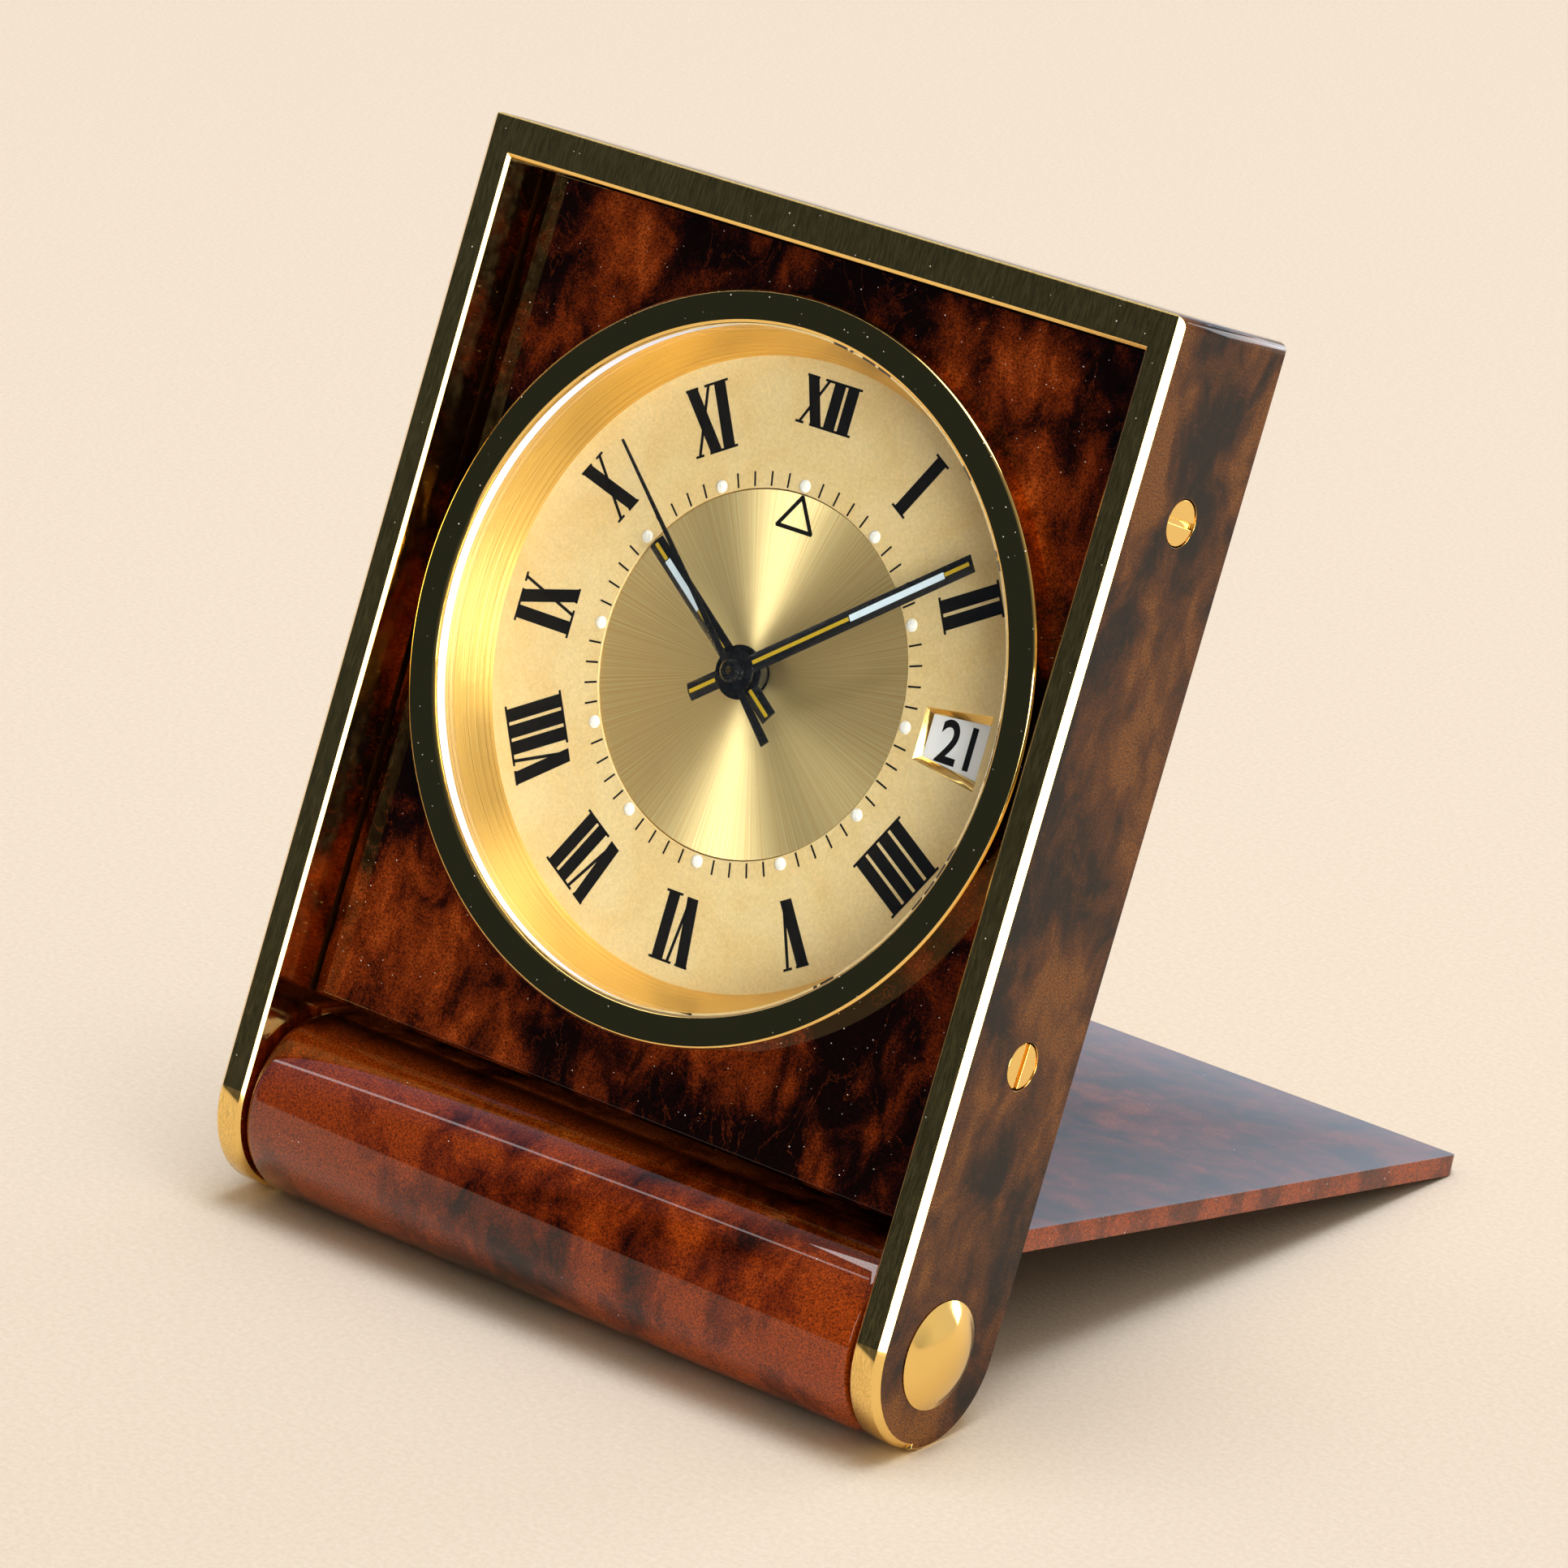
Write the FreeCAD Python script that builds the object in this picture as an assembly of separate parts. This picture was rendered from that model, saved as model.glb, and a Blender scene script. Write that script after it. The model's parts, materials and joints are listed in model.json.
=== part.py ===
"""Folding travel alarm clock with a calendar, as an assembly of separate pieces.

The pieces are drawn in face coordinates, in millimetres: the origin is the middle of the hinge
axis, X runs to the viewer's right, Y up the face and Z out of the dial. stand_up() then leans the
clock back on its open cover, so that in the files +Z is up, the dial looks towards -Y, and the
origin is the middle of the footprint, on the table.
"""
import FreeCAD
import Part
import os
from math import acos, asin, atan2, cos, degrees, hypot, pi, radians, sin

from FreeCAD import Vector

# ---------------------------------------------------------------- driving sizes: case and hinge
CASE_WIDTH = 44.0
AXIS_TO_TOP = 52.5
FRAME_DEPTH = 9.9
ARM_THICKNESS = 1.8
TOP_BAR_THICKNESS = 2.1
FRONT_CHAMFER = 0.34
BACK_CHAMFER = 0.1
TOP_EDGE_CHAMFER = 0.1
TOP_CORNER_RADIUS = 0.6

PANEL_RECESS = 2.8
PANEL_BEVEL_WIDTH = 0.9
PANEL_BEVEL_DEPTH = 0.45
SIDE_GAP = 0.2
TOP_GAP = 0.15
BARREL_GAP = 0.8

COVER_THICKNESS = 1.2
COVER_SIDE_GAP = 0.15
COVER_TOP_GAP = 0.15
COVER_CORNER_RADIUS = 0.9
BARREL_END_RADIUS = 0.8
BARREL_WALL = 1.45
BUSH_LENGTH = 4.0
STOP_GAP = 0.03

STUD_RADIUS = 1.5
STUD_REACH = 3.6
STUD_CAP_RADIUS = 2.85
STUD_CAP_HEIGHT = 0.95
WASHER_THICKNESS = 0.09
RUNNING_GAP = 0.05

SCREW_FROM_TOP = 9.8
SCREW_FROM_AXIS = 14.9
SCREW_RADIUS = 0.6
SCREW_HEAD_RADIUS = 1.17
SCREW_HEAD_HEIGHT = 0.6
SCREW_HEAD_SINK = 0.05
SCREW_HEAD_GAP = 0.08
SCREW_LENGTH = 3.2
SCREW_SLOT_WIDTH = 0.32
SCREW_SLOT_DEPTH = 0.3
SLOT_TURNS = (88.0, -4.0)

# ---------------------------------------------------------------- driving sizes: dial and glass
DIAL_CENTRE = 28.83
BEZEL_RADIUS = 19.2
BEZEL_OPENING = 17.5
BEZEL_HEIGHT = 1.45
BEZEL_BEVEL_WIDTH = 0.24
BEZEL_BEVEL_DEPTH = 0.2
BEZEL_LIP = 0.08
BEZEL_SKIRT = 1.6
BORE_RADIUS = 18.0
PRESS_GAP = 0.03
CRYSTAL_SINK = 0.15
CRYSTAL_THICKNESS = 1.35
CRYSTAL_BEVEL = 0.1

DIAL_FRONT = -0.35
DIAL_THICKNESS = 0.35
DIAL_RADIUS = 17.4
DIAL_OPENING = 16.25
DISC_RADIUS = 9.45
DISC_THICKNESS = 0.25
DISC_SINK = 0.1
DISC_GAP = 0.06
WINDOW_INNER = 11.15
WINDOW_OUTER = 14.55
WINDOW_INNER_HALF = 1.08
WINDOW_OUTER_HALF = 1.42
WINDOW_BEVEL = 0.28

DATE_INNER = 10.75
DATE_OUTER = 14.85
DATE_THICKNESS = 0.25
DATE_GAP = 0.05
DATE_TEETH = 31
DATE_TOOTH = 0.45

# ---------------------------------------------------------------- driving sizes: hands
HOUR_LENGTH = 8.75
HOUR_TAIL = 3.05
MINUTE_LENGTH = 14.95
MINUTE_TAIL = 2.95
SECONDS_LENGTH = 14.05
SECONDS_TAIL = 4.4
HAND_WIDTH = 0.95
SECONDS_WIDTH = 0.5
SECONDS_TIP_WIDTH = 0.12
HAND_THICKNESS = 0.16
HAND_BOSS = 1.15
SECONDS_BOSS = 0.85
HAND_RIDGE = 0.1
LUME_WIDTH = 0.34
LUME_INSET = 0.09
HOUR_HAND_LEVEL = 0.62
MINUTE_HAND_LEVEL = 1.02
SECONDS_HAND_LEVEL = 1.42
HOURS_SHOWN = 10
MINUTES_SHOWN = 8
SECONDS_SHOWN = 52

# ---------------------------------------------------------------- driving sizes: movement
MOVEMENT_RADIUS = 15.0
HOLDER_GAP = 0.05
PLATE_THICKNESS = 1.3
TRAIN_SPACE = 1.9
BRIDGE_THICKNESS = 0.7
BRIDGE_FOOT = 0.9
COCK_FOOT = 0.5
BACK_SPACE = 0.45
BACK_THICKNESS = 0.6
BACK_RADIUS = 18.7
BACK_BEVEL = 0.4
BACK_SKIRT = 0.75
BACK_SKIRT_WALL = 0.55
MOTION_RECESS_RADIUS = 5.9
MOTION_RECESS_DEPTH = 0.62
SECONDS_ARBOR = 0.2
CANNON_RADIUS = 0.6
HOUR_PIPE_RADIUS = 1.0
ALARM_PIPE_RADIUS = 1.45
PIPE_GAP = 0.06
ARBOR_RADIUS = 0.3
PIVOT_GAP = 0.03

STEM_ANGLE = 25.0
STEM_RADIUS = 0.4
STEM_ENGAGED = 5.2
STEM_PULL = 0.8
CROWN_RADIUS = 2.1
CROWN_LENGTH = 1.9
CROWN_START = 18.5
CROWN_FLUTES = 16
FLUTE_DEPTH = 0.18
CROWN_FACE = 0.25
CROWN_BORE = 1.25
WELL_MARGIN = 0.6

# ---------------------------------------------------------------- sizes that follow
half_width = CASE_WIDTH / 2
half_depth = FRAME_DEPTH / 2
arm_inner = half_width - ARM_THICKNESS
bar_inner = AXIS_TO_TOP - TOP_BAR_THICKNESS
panel_front = half_depth - PANEL_RECESS
case_half = arm_inner - SIDE_GAP
case_top = bar_inner - TOP_GAP
case_bottom = half_depth + BARREL_GAP
case_back_z = -half_depth

cover_half = arm_inner - COVER_SIDE_GAP
cover_length = bar_inner - COVER_TOP_GAP
cover_inner = half_depth - COVER_THICKNESS
tip_radius = COVER_THICKNESS / 2
bush_radius = half_depth - BARREL_WALL

bezel_top = panel_front + BEZEL_HEIGHT
crystal_top = bezel_top - CRYSTAL_SINK
crystal_bottom = crystal_top - CRYSTAL_THICKNESS
crystal_radius = BEZEL_OPENING - PRESS_GAP / 2
dial_back = DIAL_FRONT - DIAL_THICKNESS
date_front = dial_back - DATE_GAP
plate_front = date_front - DATE_THICKNESS - DATE_GAP
plate_back = plate_front - PLATE_THICKNESS
bridge_front = plate_back - TRAIN_SPACE
bridge_back = bridge_front - BRIDGE_THICKNESS
back_inner = bridge_back - BACK_SPACE
back_outer = back_inner - BACK_THICKNESS
stem_level = plate_back - 0.42
stem_inner = MOVEMENT_RADIUS - STEM_ENGAGED - STEM_PULL

# The cover opens until its outer face meets the lower back corner of the case.
stop_corner = hypot(case_bottom, case_back_z)
stop_angle = degrees(acos((half_depth + STOP_GAP) / stop_corner) - atan2(-case_back_z, case_bottom))
open_turn = 90.0 - stop_angle

# The clock leans back until the arm ends and the far edge of the cover touch the table.
tip_along = cover_length - tip_radius
tip_up = half_depth - tip_radius
cover_slope = degrees(atan2(tip_up, tip_along)
                      + asin((half_depth - tip_radius) / hypot(tip_along, tip_up)))
lean = cover_slope + stop_angle
footprint_front = -half_depth
footprint_back = (tip_along * cos(radians(cover_slope)) + tip_up * sin(radians(cover_slope))
                  + tip_radius)
footprint_middle = (footprint_front + footprint_back) / 2

X_AXIS = Vector(1, 0, 0)
Y_AXIS = Vector(0, 1, 0)
Z_AXIS = Vector(0, 0, 1)
ORIGIN = Vector(0, 0, 0)
BIG = 200.0

pieces = {}


def stand_up(shape):
    """Turn a piece from face coordinates to its place on the table."""
    stood = shape.copy()
    stood.rotate(ORIGIN, X_AXIS, 90.0 - lean)
    stood.translate(Vector(0, -footprint_middle, half_depth))
    return stood


def add(name, shape):
    """Keep a finished piece under its node name."""
    pieces[name] = stand_up(shape)


# ---------------------------------------------------------------- drawing helpers
def block(x, y, z):
    """A box between the given pairs of limits."""
    corner = Vector(x[0], y[0], z[0])
    return Part.makeBox(x[1] - x[0], y[1] - y[0], z[1] - z[0], corner)


def disc(radius, z, centre=(0.0, 0.0)):
    """A round plate or rod about an axis parallel to Z, between two levels."""
    return Part.makeCylinder(radius, z[1] - z[0], Vector(centre[0], centre[1], z[0]), Z_AXIS)


def ring(inner, outer, z, centre=(0.0, 0.0)):
    """A round plate with a round hole."""
    return disc(outer, z, centre).cut(disc(inner, (z[0] - 1, z[1] + 1), centre))


def across(radius, x, y=0.0, z=0.0):
    """A rod about an axis parallel to X, between two places along it."""
    return Part.makeCylinder(radius, x[1] - x[0], Vector(x[0], y, z), X_AXIS)


def prism(points, z):
    """A plate with straight edges, between two levels."""
    corners = [Vector(px, py, z[0]) for px, py in points]
    face = Part.Face(Part.makePolygon(corners + corners[:1]))
    return face.extrude(Vector(0, 0, z[1] - z[0]))


def turned(profile):
    """A piece turned about the Z axis from (radius, level) corners."""
    corners = [Vector(r, 0, z) for r, z in profile]
    face = Part.Face(Part.makePolygon(corners + corners[:1]))
    return face.revolve(ORIGIN, Z_AXIS, 360)


def fused(shapes):
    """One solid from several that overlap."""
    whole = shapes[0].fuse(shapes[1:])
    return whole.removeSplitter()


def group(shapes):
    """Separate solids kept together as one node."""
    return Part.makeCompound(shapes)


def polar(radius, angle):
    """A place in the plane of the dial, from a radius and an angle up from the right."""
    return radius * cos(radians(angle)), radius * sin(radians(angle))


def on_dial(shape):
    """Move a piece drawn about the dial centre to its height above the hinge."""
    moved = shape.copy()
    moved.translate(Vector(0, DIAL_CENTRE, 0))
    return moved


# ---------------------------------------------------------------- frame
def corner_cutter(x_edge, x_side, size, z_side, y_range):
    """A long three-sided bar that takes the corner off an arm along Y, then round its lower end."""
    reach = 1.0
    z_edge = z_side * half_depth
    corners = [
        Vector(x_edge - x_side * (size + reach), 0, z_edge + z_side * reach),
        Vector(x_edge + x_side * reach, 0, z_edge - z_side * (size + reach)),
        Vector(x_edge + x_side * reach, 0, z_edge + z_side * reach),
    ]
    face = Part.Face(Part.makePolygon(corners + corners[:1]))
    straight = face.copy()
    straight.translate(Vector(0, y_range[0], 0))
    straight = straight.extrude(Vector(0, y_range[1] - y_range[0], 0))
    round_end = face.revolve(ORIGIN, X_AXIS, z_side * 90.0)
    return [straight, round_end]


def bar_cutter(y_edge, y_side, size, z_side, x_reach):
    """A long three-sided bar that takes the corner off the top bar along X."""
    reach = 1.0
    z_edge = z_side * half_depth
    corners = [
        Vector(-x_reach, y_edge - y_side * (size + reach), z_edge + z_side * reach),
        Vector(-x_reach, y_edge + y_side * reach, z_edge - z_side * (size + reach)),
        Vector(-x_reach, y_edge + y_side * reach, z_edge + z_side * reach),
    ]
    face = Part.Face(Part.makePolygon(corners + corners[:1]))
    return face.extrude(Vector(2 * x_reach, 0, 0))


def opening_cutter(size, z_side):
    """A tapered block that takes the corner off round the inside of the frame, with mitred corners."""
    rims = []
    for grow in (-0.2, 1.0):
        wide, top = arm_inner + grow, bar_inner + grow
        level = z_side * (half_depth - size + grow)
        corners = [Vector(x, y, level) for x, y in ((-wide, 1), (wide, 1), (wide, top), (-wide, top))]
        rims.append(Part.makePolygon(corners + corners[:1]))
    return Part.makeLoft(rims, True, True)


def top_corner_cutter(side):
    """The tool that rounds the frame's outer corner where an arm meets the top bar."""
    centre = (side * (half_width - TOP_CORNER_RADIUS), AXIS_TO_TOP - TOP_CORNER_RADIUS)
    x = sorted((centre[0], side * (half_width + 1)))
    corner = block(x, (centre[1], AXIS_TO_TOP + 1), (-half_depth - 1, half_depth + 1))
    return corner.cut(disc(TOP_CORNER_RADIUS, (-half_depth - 2, half_depth + 2), centre))


def screw_places():
    """The four places of the side screws, as a side and a height above the hinge."""
    return [(side, y) for side in (-1, 1) for y in (SCREW_FROM_AXIS, AXIS_TO_TOP - SCREW_FROM_TOP)]


def side_rod(side, radius, start, end, y=0.0):
    """A rod parallel to the hinge axis on one side, from one distance out to another."""
    low, high = sorted((side * start, side * end))
    return across(radius, (low, high), y)


def make_frame():
    """The inverted U of brass: two arms with round lower ends, joined by the top bar."""
    low = Vector(-half_width, 0, -half_depth)
    high = Vector(-half_width, 0, half_depth)
    outline = Part.Wire([
        Part.LineSegment(low, low + Vector(0, AXIS_TO_TOP, 0)).toShape(),
        Part.LineSegment(low + Vector(0, AXIS_TO_TOP, 0), high + Vector(0, AXIS_TO_TOP, 0)).toShape(),
        Part.LineSegment(high + Vector(0, AXIS_TO_TOP, 0), high).toShape(),
        Part.Arc(high, Vector(-half_width, -half_depth, 0), low).toShape(),
    ])
    body = Part.Face(outline).extrude(Vector(CASE_WIDTH, 0, 0))
    body = body.cut(block((-arm_inner, arm_inner), (-BIG, bar_inner), (-BIG, BIG)))
    cutters = []
    for z_side, size in ((1, FRONT_CHAMFER), (-1, BACK_CHAMFER)):
        for side in (-1, 1):
            cutters += corner_cutter(side * half_width, side, size, z_side, (0, AXIS_TO_TOP + 1))
            cutters += corner_cutter(side * arm_inner, -side, size, z_side, (0, CASE_WIDTH / 2))
        cutters.append(bar_cutter(AXIS_TO_TOP, 1, TOP_EDGE_CHAMFER, z_side, half_width + 1))
        cutters.append(opening_cutter(size, z_side))
    for side in (-1, 1):
        cutters.append(top_corner_cutter(side))
        cutters.append(side_rod(side, STUD_RADIUS + PRESS_GAP, arm_inner - 1, half_width + 1))
    for side, y in screw_places():
        cutters.append(side_rod(side, SCREW_RADIUS, arm_inner - 1, half_width + 1, y))
        cutters.append(side_rod(side, SCREW_HEAD_RADIUS + SCREW_HEAD_GAP,
                                half_width - SCREW_HEAD_HEIGHT, half_width + 1, y))
    return body.cut(cutters)


# ---------------------------------------------------------------- case body
def stem_frame(shape, side):
    """Turn a piece drawn along +X from the dial centre onto the upper (1) or lower (-1) stem."""
    laid = shape.copy()
    laid.rotate(ORIGIN, Z_AXIS, side * STEM_ANGLE)
    return on_dial(laid)


def crown_well(side):
    """The pocket, open at the back, that a finger reaches a crown through."""
    wide = CROWN_RADIUS + WELL_MARGIN
    start = BORE_RADIUS - 1.0
    pocket = block((start, BIG / 4), (-wide, wide), (-BIG, stem_level + wide))
    return stem_frame(pocket, side)


def bevel_tools():
    """Three-sided bars that bevel the front edges of the case body on its sides and bottom."""
    run, drop = PANEL_BEVEL_WIDTH, PANEL_BEVEL_DEPTH
    tools = []
    for side in (-1, 1):
        corners = [
            Vector(side * (case_half - 2 * run), 0, panel_front + drop),
            Vector(side * (case_half + run), 0, panel_front - 2 * drop),
            Vector(side * (case_half + run), 0, panel_front + drop),
        ]
        face = Part.Face(Part.makePolygon(corners + corners[:1]))
        tools.append(face.extrude(Vector(0, BIG, 0)))
    corners = [
        Vector(-BIG / 2, case_bottom + 2 * run, panel_front + drop),
        Vector(-BIG / 2, case_bottom - run, panel_front - 2 * drop),
        Vector(-BIG / 2, case_bottom - run, panel_front + drop),
    ]
    face = Part.Face(Part.makePolygon(corners + corners[:1]))
    tools.append(face.extrude(Vector(BIG, 0, 0)))
    return tools


def make_case_body():
    """The lacquered block between the arms, bored right through for the movement."""
    body = block((-case_half, case_half), (case_bottom, case_top), (case_back_z, panel_front))
    pads = [side_rod(side, SCREW_HEAD_RADIUS, case_half - 0.5, arm_inner, y) for side, y in screw_places()]
    body = body.fuse(pads)
    cutters = [on_dial(disc(BORE_RADIUS, (-BIG, BIG)))]
    cutters += [crown_well(side) for side in (-1, 1)]
    cutters += bevel_tools()
    for side, y in screw_places():
        cutters.append(side_rod(side, SCREW_RADIUS, half_width - SCREW_HEAD_HEIGHT - SCREW_LENGTH,
                                half_width, y))
    return body.cut(cutters)


def make_side_screws():
    """Four slotted brass screws that hold the case body between the arms."""
    screws = []
    for index, (side, y) in enumerate(screw_places()):
        under = half_width - SCREW_HEAD_HEIGHT
        shank = side_rod(side, SCREW_RADIUS, under - SCREW_LENGTH, under + 0.1, y)
        head = side_rod(side, SCREW_HEAD_RADIUS, under, half_width - SCREW_HEAD_SINK, y)
        slot_half = SCREW_SLOT_WIDTH / 2
        low, high = sorted((side * (half_width - SCREW_SLOT_DEPTH), side * (half_width + 1)))
        slot = block((low, high), (-slot_half, slot_half), (-2, 2))
        slot.rotate(ORIGIN, X_AXIS, SLOT_TURNS[index % 2])
        slot.translate(Vector(0, y, 0))
        screws.append(fused([shank, head]).cut(slot))
    return group(screws)


# ---------------------------------------------------------------- hinge and cover
def make_hinge_studs():
    """Two domed studs on the hinge axis; each is fast in its arm and carries one end of the cover."""
    profile = [(0, arm_inner - STUD_REACH), (STUD_RADIUS, arm_inner - STUD_REACH), (STUD_RADIUS, half_width)]
    sphere = (STUD_CAP_RADIUS ** 2 + STUD_CAP_HEIGHT ** 2) / (2 * STUD_CAP_HEIGHT)
    for share in (1.0, 0.82, 0.5, 0.0):
        radius = STUD_CAP_RADIUS * share
        rise = (sphere ** 2 - radius ** 2) ** 0.5 - (sphere - STUD_CAP_HEIGHT)
        profile.append((radius, half_width + rise))
    studs = [turned_across([(r, side * x) for r, x in profile]) for side in (-1, 1)]
    return group(studs)


def make_friction_washers():
    """Two thin spring washers between the arms and the ends of the barrel."""
    middle = (arm_inner + cover_half) / 2
    low, high = middle - WASHER_THICKNESS / 2, middle + WASHER_THICKNESS / 2
    washers = []
    for side in (-1, 1):
        plate = side_rod(side, 3.1, low, high)
        washers.append(plate.cut(side_rod(side, STUD_RADIUS + RUNNING_GAP, low - 1, high + 1)))
    return group(washers)


def turned_across(profile):
    """A piece turned about the hinge axis from (radius, distance along the axis) corners."""
    corners = [Vector(x, r, 0) for r, x in profile]
    face = Part.Face(Part.makePolygon(corners + corners[:1]))
    return face.revolve(ORIGIN, X_AXIS, 360)


def opened(shape):
    """Turn a piece of the cover from closed over the dial to its open stop."""
    laid = shape.copy()
    laid.rotate(ORIGIN, X_AXIS, -open_turn)
    return laid


def rounded_end(radius, end, side):
    """The corners of a rounded end of the barrel, from its flat to its full radius."""
    size, step = BARREL_END_RADIUS, BARREL_END_RADIUS * (1 - cos(radians(45.0)))
    return [(radius - size, end), (radius - step, end - side * step), (radius, end - side * size)]


def make_cover():
    """The lacquered cover: a thin plate with a rounded far edge, in one piece with its barrel."""
    flat = block((-cover_half, cover_half), (0, tip_along), (cover_inner, half_depth))
    nose = across(tip_radius, (-cover_half, cover_half), tip_along, half_depth - tip_radius)
    plate = fused([flat, nose])
    corner = COVER_CORNER_RADIUS
    for side in (-1, 1):
        outer = block((cover_half - corner, cover_half + 1), (cover_length - corner, BIG), (0, BIG / 10))
        keep = disc(corner, (-1, BIG / 8), (cover_half - corner, cover_length - corner))
        trim = outer.cut(keep)
        if side < 0:
            trim = trim.mirror(ORIGIN, X_AXIS)
        plate = plate.cut(trim)
    barrel = turned_across(
        rounded_end(half_depth, -cover_half, -1) + rounded_end(half_depth, cover_half, 1)[::-1]
        + [(0, cover_half), (0, -cover_half)])
    whole = barrel.fuse(plate).cut(across(bush_radius, (-BIG, BIG)))
    return opened(whole)


def make_barrel_bushes():
    """Two brass bushes pressed into the barrel ends, which turn on the studs."""
    bushes = []
    outer = cover_half - 0.25
    for side in (-1, 1):
        bush = side_rod(side, bush_radius - PRESS_GAP, outer - BUSH_LENGTH, outer)
        bore = side_rod(side, STUD_RADIUS + RUNNING_GAP, outer - BUSH_LENGTH - 1, outer + 1)
        bushes.append(bush.cut(bore))
    return group(bushes)


# ---------------------------------------------------------------- bezel, glass and dial
def make_bezel():
    """The polished ring: a flat top, a bevelled rim, a fine inner lip and a skirt in the bore."""
    return on_dial(turned([
        (BEZEL_OPENING, panel_front - BEZEL_SKIRT),
        (BORE_RADIUS - PRESS_GAP, panel_front - BEZEL_SKIRT),
        (BORE_RADIUS - PRESS_GAP, panel_front),
        (BEZEL_RADIUS, panel_front),
        (BEZEL_RADIUS, bezel_top - BEZEL_BEVEL_DEPTH),
        (BEZEL_RADIUS - BEZEL_BEVEL_WIDTH, bezel_top),
        (BEZEL_OPENING + BEZEL_LIP, bezel_top),
        (BEZEL_OPENING, bezel_top - BEZEL_LIP),
    ]))


def make_crystal():
    """The flat glass, bevelled round its upper edge."""
    return on_dial(turned([
        (0, crystal_bottom),
        (crystal_radius, crystal_bottom),
        (crystal_radius, crystal_top - CRYSTAL_BEVEL),
        (crystal_radius - CRYSTAL_BEVEL, crystal_top),
        (0, crystal_top),
    ]))


def make_rehaut():
    """The deep conical ring between the glass and the dial."""
    return on_dial(turned([
        (DIAL_OPENING, DIAL_FRONT),
        (crystal_radius, DIAL_FRONT),
        (crystal_radius, crystal_bottom),
    ]))


def window_corners(margin):
    """The four corners of the date window, grown by a margin."""
    inner_half = WINDOW_INNER_HALF + margin
    outer_half = WINDOW_OUTER_HALF + margin * 1.9
    inner, outer = WINDOW_INNER - margin * 1.2, WINDOW_OUTER + margin * 0.9
    return [(inner, -inner_half), (outer, -outer_half), (outer, outer_half), (inner, inner_half)]


def make_dial():
    """The dial ring with its bevelled date window."""
    plate = ring(DISC_RADIUS + DISC_GAP, DIAL_RADIUS, (dial_back, DIAL_FRONT))
    low = [Vector(x, y, dial_back - 0.01) for x, y in window_corners(0.0)]
    high = [Vector(x, y, DIAL_FRONT + 0.01) for x, y in window_corners(WINDOW_BEVEL)]
    funnel = Part.makeLoft([Part.makePolygon(low + low[:1]), Part.makePolygon(high + high[:1])], True)
    return on_dial(plate.cut(funnel))


# ---------------------------------------------------------------- wheels
def toothed(teeth, module, turn, z, fine=False, centre=(0.0, 0.0)):
    """A toothed wheel or pinion with one tooth at the angle turn; fine teeth are plain points."""
    pitch = 2 * pi / teeth
    tip = module * (teeth / 2 + 0.9)
    root = module * (teeth / 2 - 1.15)
    points = []
    for tooth in range(teeth):
        middle = radians(turn) + tooth * pitch
        if fine:
            outline = ((root, -0.5), (tip, 0.0))
        else:
            outline = ((root, -0.32), (tip, -0.09), (tip, 0.09), (root, 0.32))
        for radius, share in outline:
            angle = middle + share * pitch
            points.append((centre[0] + radius * cos(angle), centre[1] + radius * sin(angle)))
    return prism(points, z)


def crossings(inner, outer, arms, width, z, centre=(0.0, 0.0), turn=0.0):
    """The openings between the arms of a wheel, as sectors with parallel-sided arms left between."""
    windows = ring(inner, outer, z, centre)
    bars = []
    for arm in range(arms):
        bar = block((centre[0], centre[0] + outer + 1), (centre[1] - width / 2, centre[1] + width / 2),
                    (z[0] - 1, z[1] + 1))
        bar.rotate(Vector(centre[0], centre[1], 0), Z_AXIS, turn + arm * 360.0 / arms)
        bars.append(bar)
    return windows.cut(bars)


def train_wheel(teeth, module, turn, z, hub, centre=(0.0, 0.0), arms=3):
    """A fine-toothed train wheel with a rim, crossed-out arms and a hub."""
    wheel = toothed(teeth, module, turn, z, True, centre)
    rim_inner = module * (teeth / 2 - 1.15) - 0.45
    openings = crossings(hub, rim_inner, arms, 0.4, (z[0] - 0.5, z[1] + 0.5), centre, turn)
    return wheel.cut(openings)


def gap_angle(teeth, line, tooth_turn=0.0):
    """The turn that puts a gap between two teeth on the line of centres."""
    return line + 180.0 / teeth + tooth_turn


# ---------------------------------------------------------------- layout of the train
CENTRE_TEETH, THIRD_LEAVES = 64, 8
THIRD_TEETH, FOURTH_LEAVES = 60, 8
FOURTH_TEETH, ESCAPE_LEAVES = 60, 6
BARREL_TEETH, CENTRE_LEAVES = 54, 9
ALARM_TEETH, STRIKE_LEAVES = 40, 8
CANNON_LEAVES, MINUTE_TEETH = 12, 36
MINUTE_LEAVES, HOUR_TEETH = 10, 40
ESCAPE_TEETH = 15
CENTRE_MODULE = 0.1375
FOURTH_MODULE = 0.151
BARREL_MODULE = 0.248
CANNON_MODULE = 0.13
ALARM_MODULE = 0.18
THIRD_ANGLE = 235.0
ESCAPE_ANGLE = 334.0
BARREL_ANGLE = 100.0
MINUTE_WHEEL_ANGLE = 45.0
ALARM_BARREL_AT = (3.9, -10.05)
STRIKE_ANGLE = 185.0
HAMMER_AT = (-6.4, -9.3)
GONG_AT = (-12.6, -1.2)
BALANCE_AT = (10.9, 0.0)
PALLET_AT = (7.35, -1.15)

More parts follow.
